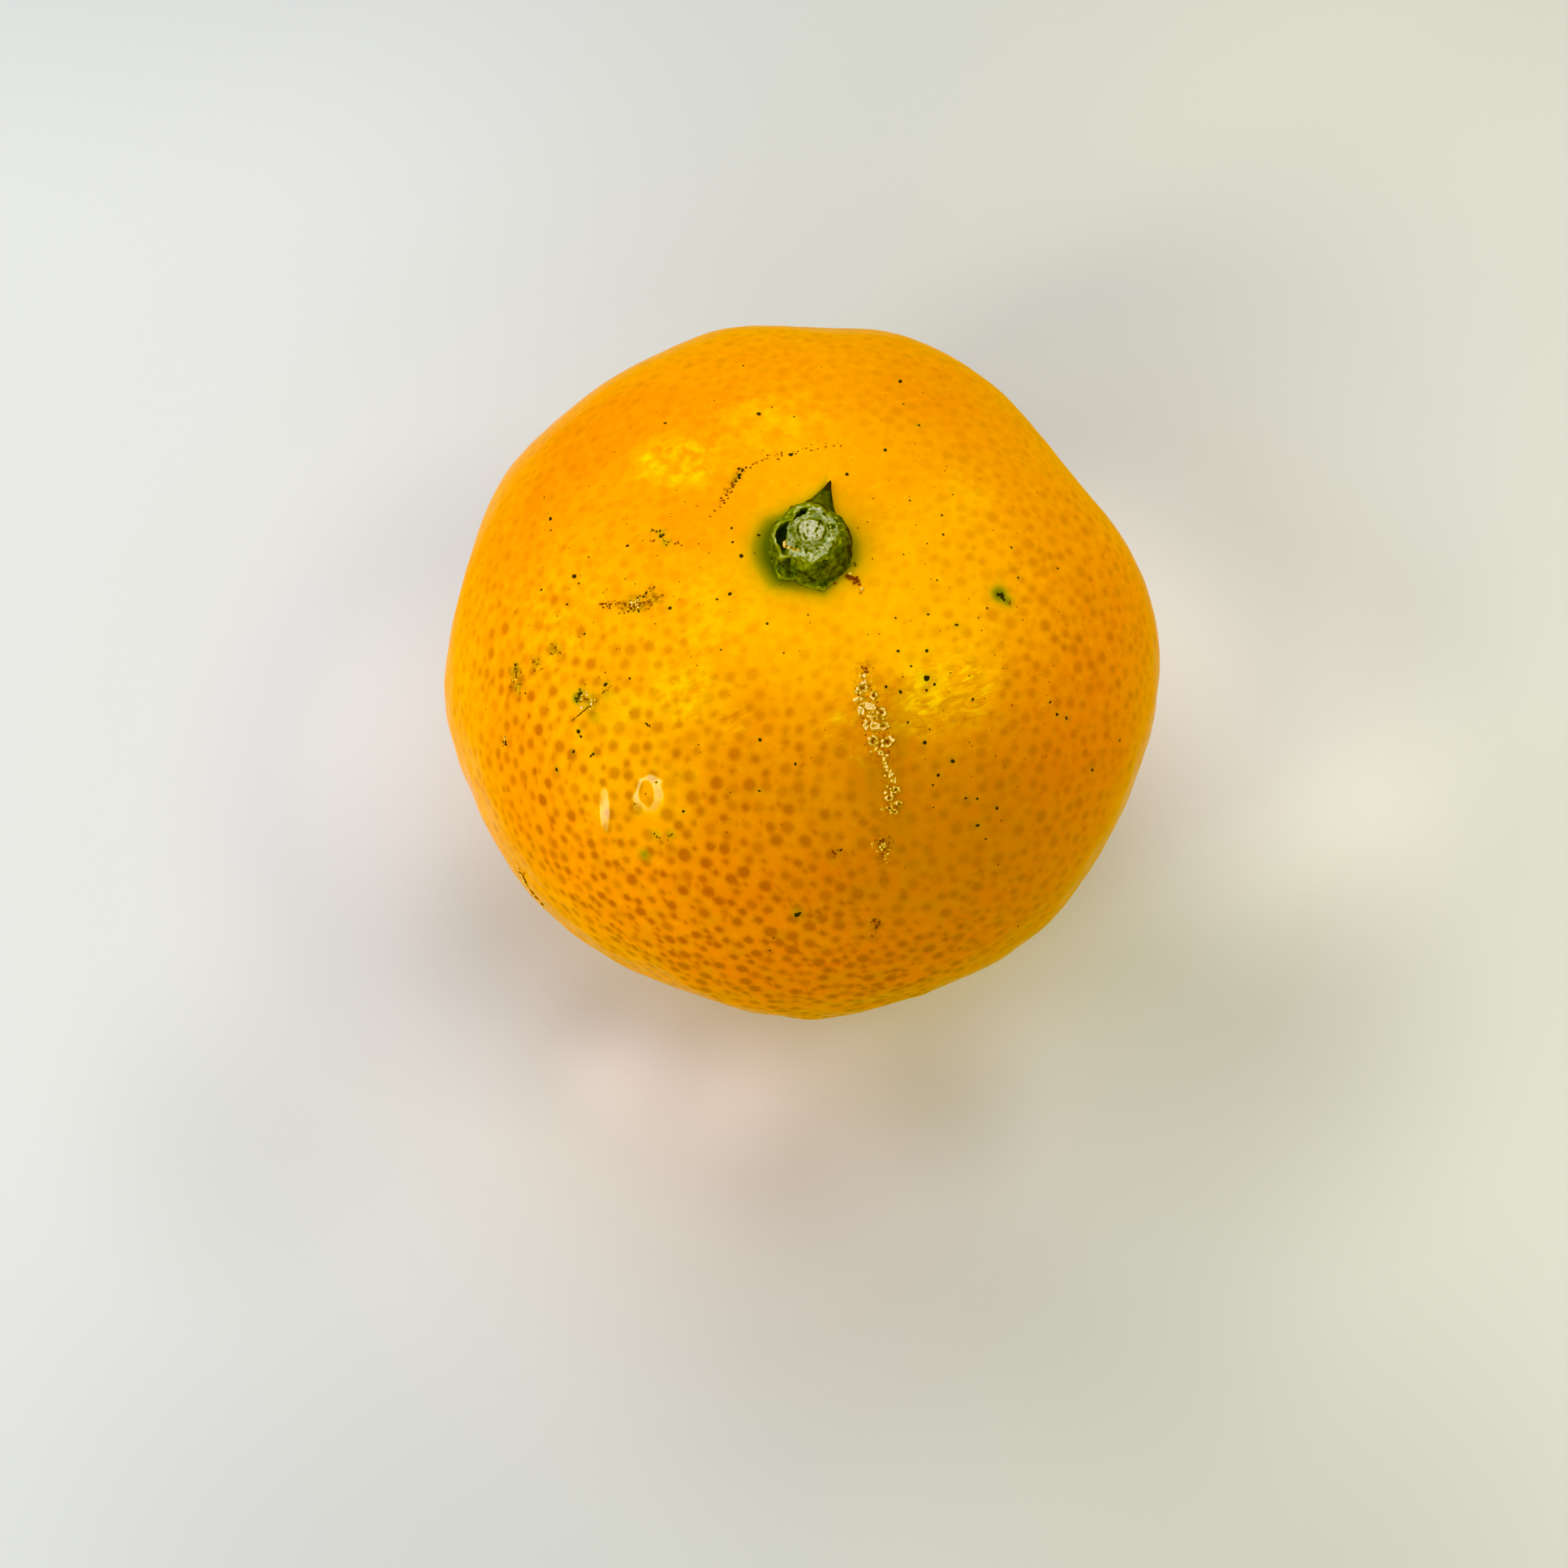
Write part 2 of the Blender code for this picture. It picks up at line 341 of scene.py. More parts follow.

    # Olive where the rind has not turned yet, and olive as painted shade on the front, then green round the
    # calyx and round old punctures.
    olive_and_shade = add(
        tree, "Mix", {"Factor": read["olive_and_shade"], "A": folds_and_painted_sheen, "B": linear("AC7800")}, data_type="RGBA"
    )
    pale_green = add(tree, "MapRange", {"Value": read["green"], "From Max": 0.6, "To Max": 0.75})
    greenish = add(tree, "Mix", {"Factor": pale_green, "A": olive_and_shade, "B": linear("9A940A")}, data_type="RGBA")
    deep_green = add(tree, "MapRange", {"Value": read["green"], "From Min": 0.35, "To Max": 0.95})
    green = add(tree, "Mix", {"Factor": deep_green, "A": greenish, "B": linear("405210")}, data_type="RGBA")

    # Stains under scabs, in grains 0.35 mm wide.
    grains = add(tree, "TexNoise", {"Vector": place, "Scale": per(0.35 * MM), "Detail": 3})
    grainy = add(tree, "MapRange", {"Value": grains, "From Min": 0.40, "From Max": 0.62})
    stained = add(tree, "Math", {0: grainy, 1: read["stain"]}, operation="MULTIPLY")
    finished = add(tree, "Mix", {"Factor": stained, "A": green, "B": linear("8A3E00")}, data_type="RGBA")

    # Bloom dulls the wax. Two smears 3 mm tall are rubbed clean and glossy: a ring round a gland and a
    # streak.
    rubbed = add(tree, "TexNoise", {"Vector": place, "Scale": per(0.8 * MM), "Detail": 2})
    smears = []
    for x, y, half_wide, half_tall, turn in RUBBED_SMEARS:
        local = add(
            tree,
            "Mapping",
            {
                "Vector": place,
                "Location": (x * MM, y * MM, HEART.z),
                "Rotation": (0, 0, radians(turn)),
                "Scale": (half_wide * MM, half_tall * MM, 1),
            },
            vector_type="TEXTURE",
        )
        reach = add(tree, "VectorMath", {0: local}, operation="LENGTH")
        ragged = add(tree, "Math", {0: rubbed, 1: 0.7, 2: reach}, operation="MULTIPLY_ADD")
        smear = add(
            tree, "MapRange", {"Value": ragged, "From Min": 1.45, "From Max": 1.25},
            interpolation_type="SMOOTHSTEP",
        )
        smears.append(smear)
    ring = add(tree, "Math", {0: smears[0], 1: smears[1]}, operation="SUBTRACT")
    wax = add(tree, "Math", {0: ring, 1: smears[2]}, operation="MAXIMUM")
    bloom = add(tree, "Math", {0: read["dull"], 1: wax}, operation="SUBTRACT")
    roughness = add(tree, "MapRange", {"Value": bloom, "To Min": 0.16, "To Max": 0.46})

    # Skin cells: a grain of about 0.2 mm that breaks up the gloss.
    cells = add(tree, "TexNoise", {"Vector": place, "Scale": per(0.22 * MM), "Detail": 3})
    grain = add(tree, "Bump", {"Height": cells, "Strength": 0.3, "Distance": 0.012 * MM})
    fold_depth = add(tree, "Math", {0: folds, 1: read["crease_and_sheen"]}, operation="MULTIPLY")
    folded = add(
        tree, "Bump", {"Height": fold_depth, "Strength": 1.0, "Distance": 0.09 * MM, "Normal": grain}
    )
    feed(shader, {"Base Color": finished, "Roughness": roughness, "IOR": 1.44, "Normal": folded})
    glow = (1.0, 0.35, 0.05)  # red light goes farthest into the pith
    feed(shader, {"Subsurface Weight": 0.25, "Subsurface Radius": glow, "Subsurface Scale": 1.2 * MM})
    return material


def even_ball(cells):
    """A cube divided evenly and blown up to a unit ball."""
    builder = bmesh.new()
    bmesh.ops.create_cube(builder, size=2)
    bmesh.ops.subdivide_edges(builder, edges=builder.edges, cuts=cells - 1, use_grid_fill=True)
    for vertex in builder.verts:
        vertex.co = Vector([tan(side * pi / 4) for side in vertex.co]).normalized()
    return builder


def scatter_glands(points, draw):
    """Places the oil glands on vertices: large ones first, then small ones in the gaps."""
    cell = 1.4 * MM  # more than two of the largest glands keep apart
    taken = {}
    glands = []

    def crowded(place, radius, spacing):
        home = [int(side // cell) for side in place]
        for x in range(home[0] - 1, home[0] + 2):
            for y in range(home[1] - 1, home[1] + 2):
                for z in range(home[2] - 1, home[2] + 2):
                    for other, other_radius in taken.get((x, y, z), ()):
                        if (other - place).length < (radius + other_radius) * spacing:
                            return True
        return False

    order = list(range(len(points)))
    draw.shuffle(order)
    large_tries = int(len(order) * LARGE_TRIES)
    small_tries = int(len(order) * SMALL_TRIES)
    for number, index in enumerate(order[: large_tries + small_tries]):
        large = number < large_tries
        low, high = LARGE_GLAND if large else SMALL_GLAND
        radius = low + (high - low) * draw.random()
        place = Vector(points[index])
        if not crowded(place, radius, LARGE_SPACING if large else SMALL_SPACING):
            taken.setdefault(tuple(int(side // cell) for side in place), []).append((place, radius))
            glands.append((place, radius))
    return glands


def gland_fields(points, glands, draw):
    """For each point: distance in mm from the nearest gland's edge, and how dark that gland is."""
    tree = kdtree.KDTree(len(glands))
    for index, (place, _) in enumerate(glands):
        tree.insert(place, index)
    tree.balance()
    full_size = LARGE_GLAND[0]
    darkness = [(0.36 + 0.64 * draw.random()) * smooth_step(0, full_size, radius) for _, radius in glands]
    gap = np.empty(len(points))
    tone = np.empty(len(points))
    for number, point in enumerate(points):
        nearby = tree.find_n(point, 4)
        edge, nearest = min((distance - glands[index][1], index) for _, index, distance in nearby)
        gap[number] = edge / MM
        tone[number] = darkness[nearest]
    return gap, tone


def green_of(points, bearings, from_stem):
    """How green each point of the peel is: a ring round the calyx, and halos round old punctures."""
    strength = 0.66 + 0.25 * np.cos(np.radians(bearings - 200))
    strength += 0.17 * np.cos(np.radians(2 * (bearings - 5)))
    beyond = np.maximum(from_stem - calyx_edge(bearings), 0)
    green = np.minimum(1.15 * strength * np.exp(-((beyond / (0.55 + 0.75 * strength)) ** 1.3)), 1)
    tree = kdtree.KDTree(len(points))
    for index, point in enumerate(points):
        tree.insert(point, index)
    tree.balance()
    for x, y, radius, amount in HALOS:
        for _, index, distance in tree.find_range(on_peel(x, y), 2.5 * radius * MM):
            green[index] = max(green[index], amount * bell(distance, radius * MM))
    return green


def make_peel(material):
    """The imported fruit's skin in far finer faces, with its dimples, swellings, furrows and tints."""
    builder = even_ball(PEEL_CELLS)
    for vertex in builder.verts:
        vertex.co = FRUIT_SKIN.ray_cast(HEART, vertex.co)[0]
    peel = make_object("fruit_peel", builder, material)
    mesh = peel.data
    points = relax(mesh, points_of(mesh), SMOOTHING_ROUNDS)
    put_points(mesh, points)

    draw = random.Random(7)
    glands = scatter_glands(points, draw)
    gap, tone = gland_fields(points, glands, draw)
    sideways = points[:, :2] - np.array(STEM.xy)
    from_stem = np.hypot(*sideways.T) / MM
    bearings = np.degrees(np.arctan2(sideways[:, 1], sideways[:, 0])) % 360
    upper = points[:, 2] > HEART.z
    directions = points - np.array(HEART)
    directions /= np.linalg.norm(directions, axis=1)[:, None]

    # Near the stem the glands hardly show through.
    shown = 0.13 + 0.12 * smooth_step(8, 14, np.where(upper, from_stem, FAR_SIDE))
    shown = np.clip(shown + regional(CLEAR_PARTS, directions), 0.05, 1.3)
    crease_and_sheen_mask = np.clip(on_top_of(FOLDS_AND_SHEEN, points), 0, 1)

    # All of it fades out above the floor, so that the fruit keeps the flat spot it rests on.
    rise = SWELL_HEIGHT * noise_at(points, SWELL_SIZE)
    rise += PEBBLE_HEIGHT * noise_at(points, PEBBLE_SIZE, 5)
    lower = smooth_step(34 * MM, 22 * MM, points[:, 2])
    rise += BUMP_HEIGHT * noise_at(points, BUMP_SIZE, 8) * lower
    rise -= GLAND_DIMPLE * smooth_step(0.15, -0.40, gap) * np.minimum(shown, 1)
    # Where the skin is rubbed it is smoother too.
    polished = on_top_of([(x, y, 2.6, 0.8) for x, y, *_ in RUBBED_SMEARS], points)
    rise *= 1 - np.clip(polished, 0, 0.85)
    furrows = np.cos(np.radians(bearings * 9 + 40 * noise_at(points, 6 * MM, 3)))
    rise += FURROW_DEPTH * furrows * np.where(upper, bell(from_stem - 6.5, 2.6), 0)
    rise *= smooth_step(0, 2.5 * MM, points[:, 2])
    points += normals_of(mesh) * rise[:, None]
    navel = np.where(upper, 0, bell(np.hypot(points[:, 0], points[:, 1]), NAVEL_RADIUS))
    points[:, 2] = np.maximum(points[:, 2], 0) + NAVEL_DEPTH * navel
    put_points(mesh, points)

    amber = on_top_of(AMBER_PARTS, points)
    flush_and_shade = 0.45 * smooth_step(8, 28, np.where(upper, from_stem, FAR_SIDE - from_stem))
    # Part of this is painted shade: deeper orange on the front and lower sides, where less light falls.
    flush_and_shade += regional(RIPE_AND_SHADED_PARTS, directions)
    keep_value(mesh, "gland_gap", gap)
    keep_value(mesh, "gland_tone", np.clip(tone * shown, 0, 1))
    keep_value(mesh, "flush_and_shade", flush_and_shade + amber)
    # The strongest pale patches are painted yellow glints and soft highlights.
    keep_value(mesh, "pale", np.clip(0.08 + on_top_of(PALE_SKIN_AND_GLINTS, points), 0, 1))
    # The olive regions on the front are painted shade as well.
    keep_value(mesh, "olive_and_shade", np.clip(regional(OLIVE_AND_SHADED_PARTS, directions) + 0.42 * amber, 0, 0.7))
    keep_value(mesh, "green", green_of(points, bearings, np.where(upper, from_stem, FAR_SIDE)))
    keep_value(mesh, "stain", np.clip(stains_of(points) + 0.9 * navel, 0, 1))
    # The crease mask also paints highlight on the fold ridges and shade in their furrows.
    keep_value(mesh, "crease_and_sheen", crease_and_sheen_mask)
    keep_value(mesh, "dull", np.clip(regional(DULL_PARTS, directions), 0, 1))
    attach(peel, "root")
    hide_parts("fruit")
    return peel


# ---- marks on the rind ----

# Places are X and Y in mm as seen from above, sizes are in mm.
# Old punctures, small black dots: place, radius of the dot, how green the skin round it is.
PUNCTURES = (
    (7.4, -8.3, 0.12, 0.35), (9.6, -8.1, 0.13, 0.40), (8.4, -9.4, 0.10, 0.00), (9.6, -10.2, 0.21, 0.65),
    (10.2, -10.6, 0.12, 0.50), (9.6, -11.1, 0.10, 0.40), (7.6, -11.4, 0.15, 0.55), (6.5, -11.1, 0.12, 0.20),
    (8.2, -13.6, 0.11, 0.25), (9.5, -14.9, 0.16, 0.45), (11.7, -15.9, 0.15, 0.45),
    (10.6, -17.0, 0.13, 0.30), (10.2, -17.7, 0.10, 0.30), (13.7, -18.1, 0.12, 0.35),
    (12.8, -18.2, 0.12, 0.35), (15.3, -18.4, 0.14, 0.35), (13.8, -19.8, 0.16, 0.50),
    (13.2, -11.3, 0.11, 0.25), (11.9, -5.8, 0.15, 0.60), (14.3, -4.1, 0.09, 0.00), (13.6, -5.0, 0.08, 0.00),
    (16.8, -1.1, 0.10, 0.30), (19.4, -10.2, 0.13, 0.30), (20.0, -10.9, 0.14, 0.40),
    (20.8, -10.9, 0.15, 0.40), (25.6, -10.6, 0.12, 0.30), (-16.8, -6.0, 0.12, 0.30),
    (-15.0, -10.2, 0.17, 0.60), (-13.1, -10.0, 0.10, 0.10), (-17.1, -13.2, 0.17, 0.60),
    (-16.9, -13.6, 0.14, 0.60), (-17.5, -14.5, 0.15, 0.40), (-16.1, -15.1, 0.12, 0.30),
    (-15.9, -15.0, 0.11, 0.30), (-18.9, -15.4, 0.14, 0.50), (-8.8, -19.7, 0.12, 0.45),
    (-22.5, -6.8, 0.13, 0.40), (-3.0, -15.2, 0.14, 0.20), (-0.3, -16.9, 0.12, 0.00),
    (-3.0, -18.7, 0.11, 0.45), (0.0, -26.3, 0.20, 0.90), (0.2, -26.2, 0.16, 0.60), (0.5, -5.7, 0.08, 0.10),
    (7.2, -5.7, 0.09, 0.20), (9.7, -5.2, 0.12, 0.25), (5.1, -7.1, 0.07, 0.10), (7.7, 16.8, 0.22, 0.10),
    (7.9, 14.1, 0.08, 0.10), (9.1, 11.9, 0.12, 0.50), (6.4, 9.0, 0.15, 0.15), (3.4, 6.6, 0.14, 0.35),
    (8.3, 4.4, 0.08, 0.10), (11.7, 5.3, 0.08, 0.10), (10.8, 3.3, 0.10, 0.20), (10.9, 1.6, 0.10, 0.15),
    (16.3, 1.4, 0.10, 0.10), (5.4, -0.8, 0.07, 0.10), (7.8, -0.4, 0.07, 0.10), (10.4, -2.3, 0.08, 0.10),
    (20.1, 0.6, 0.09, 0.10), (-5.0, 18.2, 0.10, 0.10), (-3.6, 12.3, 0.19, 0.10), (-2.6, 13.0, 0.08, 0.10),
    (-0.8, 12.0, 0.08, 0.10), (-11.1, 12.2, 0.14, 0.10), (-20.8, 7.2, 0.10, 0.10), (-20.1, 4.8, 0.18, 0.10),
    (-20.0, 3.7, 0.09, 0.10), (-13.6, 0.7, 0.13, 0.10), (-16.7, 0.3, 0.09, 0.10), (-17.8, -1.1, 0.19, 0.15),
    (-17.4, -1.8, 0.10, 0.10), (-20.5, -1.5, 0.11, 0.10), (-18.3, -3.3, 0.12, 0.10),
    (-3.4, 1.0, 0.15, 0.60), (-5.5, 1.6, 0.12, 0.30), (-5.4, 0.4, 0.10, 0.25), (-4.7, -0.8, 0.16, 0.60),
    (-5.5, -4.0, 0.14, 0.40), (-6.5, -4.4, 0.09, 0.20), (-10.1, -4.9, 0.14, 0.50), (-2.6, -6.5, 0.11, 0.10),
    (-1.3, -8.8, 0.09, 0.10), (-6.1, -8.5, 0.08, 0.10), (-21.6, -9.3, 0.09, 0.10),
    (-10.9, -17.6, 0.09, 0.10), (-12.6, -18.8, 0.08, 0.10), (-5.2, -18.7, 0.07, 0.10),
    (-1.8, -27.5, 0.10, 0.20), (-2.1, -28.1, 0.09, 0.20), (15.6, -21.8, 0.08, 0.10),
    (17.8, -24.2, 0.11, 0.20), (23.2, -13.6, 0.14, 0.40), (14.5, -20.5, 0.10, 0.10),
    (15.7, -19.1, 0.07, 0.10),
)
# Green patches without a dot: place, radius, how green.
GREEN_PATCHES = (
    (15.3, -2.8, 0.75, 1.0), (15.9, -3.2, 0.55, 0.8), (-11.9, -22.1, 0.42, 0.75),
    (-10.9, -21.0, 0.35, 0.45), (-9.8, -21.1, 0.35, 0.50), (-17.3, -10.8, 0.50, 0.90),
    (-17.0, -10.5, 0.40, 0.80), (-16.3, -11.3, 0.80, 0.45), (-14.9, -11.0, 0.60, 0.30),
    (-15.9, -12.5, 0.60, 0.35), (-22.5, -7.3, 0.60, 0.60), (-22.3, -8.6, 0.50, 0.50),
    (-20.8, -7.2, 0.50, 0.40), (-19.2, -6.6, 0.60, 0.35), (-12.8, -4.4, 0.90, 0.35),
    (-11.5, -4.0, 0.70, 0.30), (-11.0, 1.4, 0.55, 0.45), (-10.6, 0.6, 0.50, 0.45), (-5.3, 6.0, 0.60, 0.25),
    (6.5, -22.0, 0.50, 0.30),
)
HALOS = GREEN_PATCHES + tuple((x, y, 2.4 * radius, 0.5 * green) for x, y, radius, green in PUNCTURES)

# Skin browned in grains along scars and scabs: where each begins and ends, how wide, how strong.
STAINS = (
    (4.8, -9.8, 4.9, -12.6, 0.7, 0.70), (5.4, -12.5, 6.3, -15.8, 1.0, 0.85),
    (6.9, -14.2, 6.8, -17.2, 0.25, 0.90), (6.2, -15.8, 6.9, -18.0, 0.4, 0.60),
    (7.2, -18.6, 7.2, -19.6, 0.7, 0.60), (6.4, -21.8, 6.6, -22.5, 0.6, 0.80),
    (-15.6, -3.9, -13.6, -4.2, 0.35, 0.70), (-13.6, -4.3, -11.2, -4.0, 0.60, 0.90),
    (-16.9, -10.7, -16.0, -11.3, 0.6, 0.60), (-22.6, -7.1, -22.3, -8.8, 0.6, 0.60),
    (-21.1, -6.9, -20.3, -7.8, 0.5, 0.45), (-19.6, -6.2, -18.7, -7.3, 0.5, 0.45),
    (6.1, -26.6, 6.1, -26.6, 0.45, 0.90), (2.7, -22.7, 3.1, -22.5, 0.25, 0.60),
    (-6.0, 4.9, -4.9, 6.8, 0.30, 0.60),
)

# Corky cells of the long scar: place, length, width, turn in degrees, how hollow.
SCAR_CELLS = (
    (4.70, -11.30, 0.85, 0.75, 20, 1.0), (4.25, -11.60, 0.35, 0.30, 70, 0.0),
    (4.40, -12.15, 0.75, 0.40, 20, 0.3), (5.55, -11.80, 0.70, 0.55, 75, 1.0),
    (5.30, -12.60, 0.95, 0.60, -10, 0.0), (4.60, -13.00, 0.60, 0.65, 20, 0.2),
    (6.15, -13.00, 0.80, 0.75, 30, 1.0), (5.50, -13.30, 0.50, 0.42, 30, 0.5),
    (5.00, -14.00, 0.45, 0.75, 0, 0.2), (5.60, -14.05, 0.65, 0.65, 40, 0.5),
    (6.30, -14.00, 0.80, 0.65, 10, 0.9), (5.60, -15.10, 0.90, 0.75, -20, 1.0),
    (6.65, -15.10, 1.00, 0.80, 30, 1.0), (6.20, -15.90, 0.50, 0.35, -30, 0.2),
    (6.50, -16.50, 0.35, 0.42, 20, 0.0), (7.35, -18.30, 0.60, 0.50, 30, 1.0),
    (6.85, -18.90, 0.65, 0.45, 20, 1.0), (7.60, -19.20, 0.45, 0.60, 60, 0.8),
    (6.90, -19.55, 0.60, 0.26, -20, 1.0), (7.30, -19.75, 0.45, 0.36, 20, 0.7),
)
# Crumbs of dried sap, scab and cork: where each line of them begins and ends, how far they stray,
# how many, their least and greatest size, and what they are.
CRUMBS = (
    (4.75, -9.6, 4.9, -10.2, 0.06, 7, 0.11, 0.26, "scab"),
    (4.75, -10.2, 4.9, -11.0, 0.18, 11, 0.12, 0.28, "cork"),
    (4.8, -11.3, 5.6, -13.4, 0.34, 24, 0.12, 0.30, "cork"),
    (5.4, -13.2, 6.4, -16.2, 0.30, 30, 0.12, 0.30, "cork"),
    (4.2, -11.2, 5.0, -14.8, 0.05, 20, 0.08, 0.18, "scab"),
    (5.2, -10.9, 7.0, -15.2, 0.05, 22, 0.08, 0.18, "scab"),
    (6.7, -16.9, 7.1, -17.9, 0.20, 14, 0.14, 0.36, "cork"),
    (7.0, -18.2, 7.3, -19.8, 0.28, 16, 0.14, 0.34, "cork"),
    (6.1, -21.7, 6.9, -22.4, 0.30, 26, 0.10, 0.24, "cork"),
    (6.0, -21.6, 6.9, -22.3, 0.32, 22, 0.10, 0.21, "scab"),
    (6.6, -22.6, 6.8, -23.0, 0.05, 4, 0.10, 0.20, "cork"),
    (5.9, -26.6, 6.3, -26.5, 0.25, 14, 0.13, 0.28, "scab"),
    (2.5, -22.8, 2.9, -22.6, 0.12, 7, 0.11, 0.25, "scab"),
    (3.2, -22.5, 3.3, -22.4, 0.05, 2, 0.11, 0.20, "sap"),
    (-15.8, -3.9, -13.9, -4.1, 0.12, 16, 0.08, 0.22, "scab"),
    (-15.3, -4.1, -14.8, -4.2, 0.08, 5, 0.11, 0.22, "sap"),
    (-13.8, -4.4, -11.9, -4.3, 0.32, 40, 0.08, 0.22, "scab"),
    (-13.2, -4.2, -12.4, -4.4, 0.22, 12, 0.11, 0.25, "cork"),
    (-13.6, -4.8, -11.9, -4.9, 0.12, 12, 0.10, 0.21, "sap"),
    (-12.7, -3.9, -11.3, -3.1, 0.08, 16, 0.08, 0.22, "sap"),
    (-11.6, -4.4, -10.5, -3.7, 0.12, 13, 0.07, 0.17, "scab"),
    (-16.8, -10.9, -15.9, -11.4, 0.28, 24, 0.10, 0.26, "cork"),
    (-16.9, -10.8, -15.7, -11.4, 0.24, 14, 0.10, 0.24, "scab"),
    (-17.3, -10.9, -16.9, -10.4, 0.12, 10, 0.17, 0.36, "sap"),
    (-17.6, -12.3, -16.3, -11.6, 0.02, 26, 0.08, 0.15, "sap"),
    (-15.5, -10.9, -14.5, -10.4, 0.05, 9, 0.08, 0.17, "scab"),
    (-22.7, -6.9, -22.3, -8.9, 0.28, 18, 0.10, 0.25, "scab"),
    (-22.6, -7.3, -22.4, -8.6, 0.20, 8, 0.11, 0.25, "cork"),
    (-21.1, -6.9, -20.3, -7.8, 0.20, 12, 0.08, 0.21, "scab"),
    (-19.6, -6.2, -18.7, -7.3, 0.18, 14, 0.08, 0.21, "scab"),
    (-11.9, 1.9, -11.2, 1.6, 0.08, 6, 0.11, 0.22, "sap"),
    (-11.2, 1.7, -10.5, 0.4, 0.10, 12, 0.11, 0.28, "sap"),
    (-11.7, 1.0, -11.5, 0.7, 0.08, 5, 0.08, 0.20, "scab"),
    (-9.9, 0.5, -9.5, 0.3, 0.08, 4, 0.11, 0.22, "scab"),
    (-7.2, 2.6, -6.3, 4.0, 0.10, 8, 0.08, 0.17, "scab"),
    (-6.3, 4.0, -5.4, 5.6, 0.14, 18, 0.10, 0.25, "scab"),
    (-5.3, 5.7, -4.7, 7.0, 0.14, 22, 0.10, 0.28, "sap"),
    (-4.6, 7.0, -2.8, 8.0, 0.18, 10, 0.08, 0.20, "scab"),
    (-3.0, 7.8, -0.8, 8.5, 0.16, 10, 0.08, 0.22, "scab"),
    (-1.1, 8.3, -0.9, 8.3, 0.06, 4, 0.20, 0.31, "sap"), (-0.8, 8.5, 3.0, 9.3, 0.18, 16, 0.08, 0.20, "scab"),
    (15.1, -2.7, 15.7, -3.1, 0.10, 9, 0.17, 0.36, "sap"),
    (15.6, -3.0, 16.3, -3.6, 0.12, 7, 0.10, 0.22, "scab"),
    (-11.8, -13.4, -11.45, -13.75, 0.02, 8, 0.10, 0.17, "sap"),
    (-23.5, -12.0, -23.3, -12.2, 0.10, 6, 0.14, 0.28, "sap"),
    (-23.5, -11.7, -23.4, -11.8, 0.06, 3, 0.20, 0.31, "cork"),
    (-11.0, -21.0, -10.8, -21.1, 0.12, 5, 0.10, 0.21, "sap"),
    (-9.9, -21.2, -9.7, -21.1, 0.12, 5, 0.10, 0.21, "sap"),
)
# Fine dust of spots over whole areas: middle, how far they stray, how many.
DUSTINGS = (
    (-15.0, 2.0, 3.5, 46), (-17.0, -9.0, 4.5, 34), (-8.0, -3.0, 4.0, 24), (2.0, 12.0, 6.0, 30),
    (12.0, 4.0, 6.0, 26), (12.0, -10.0, 5.0, 40), (17.0, -14.0, 5.0, 36), (-4.0, -17.0, 6.0, 34),
    (-10.0, 12.0, 5.0, 20),
)
# Grains caught in and beside the calyx: place from the stem's axis, height above the skin, size, stuff.
CAUGHT_GRAINS = (
    (-2.08, -0.80, 2.20, 0.72, "cork"), (-1.76, -1.46, 2.95, 0.36, "cork"),
    (-1.48, -1.64, 3.00, 0.34, "cork"), (-1.20, -1.72, 3.06, 0.24, "cork"),
    (-1.92, -1.28, 2.80, 0.26, "scab"), (-1.62, -1.44, 3.02, 0.18, "scab"),
    (3.02, -2.15, 0.12, 0.36, "cork"), (3.95, -3.45, 0.10, 0.34, "cork"), (3.85, -3.75, 0.10, 0.22, "cork"),
    (2.80, -2.35, 0.10, 0.34, "scab"), (3.05, -2.50, 0.14, 0.42, "scab"), (3.30, -2.55, 0.14, 0.36, "scab"),
    (3.55, -2.45, 0.10, 0.28, "scab"), (3.60, -2.75, 0.14, 0.40, "scab"), (3.35, -2.95, 0.10, 0.26, "scab"),
    (3.75, -3.05, 0.10, 0.26, "scab"), (1.90, -2.98, 0.15, 0.24, "scab"), (3.45, -1.40, 0.10, 0.16, "sap"),
    (3.38, -1.20, 0.10, 0.16, "sap"),
)
# A scab low on the side: azimuth and elevation from the fruit's middle at both ends, how many crumbs.
SIDE_SCAB = ((219, 3), (223.5, -3), 34)
CELL_SPREAD, CELL_HEIGHT = 1.08, 0.20 * MM  # the scar's cells just touch
CRUMB_HEIGHT, CAUGHT_HEIGHT = 0.22, 0.42  # as a share of a crumb's length
DUST_SIZE = (0.06, 0.15)
DOT_WIDTH = 2.2  # a puncture's crumb as a share of its radius


def on_peel(x, y):
    """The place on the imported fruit's upper side that shows at X and Y from above."""
    return FRUIT_SKIN.ray_cast(Vector((x * MM, y * MM, 0.1)), Vector((0, 0, -1)))[0]


def stains_of(points):
    """How browned each point of the peel is, along the scars and scabs."""
    flat = points[:, :2] / MM
    upper = points[:, 2] > HEART.z
    stain = np.zeros(len(points))
    for x, y, end_x, end_y, width, amount in STAINS:
        start, run = np.array((x, y)), np.array((end_x - x, end_y - y))
        share = np.clip((flat - start) @ run / max(run @ run, 1e-6), 0, 1)
        away = np.hypot(*(flat - start - share[:, None] * run).T)
        stain = np.maximum(stain, np.where(upper, amount * bell(away, width), 0))
    return stain


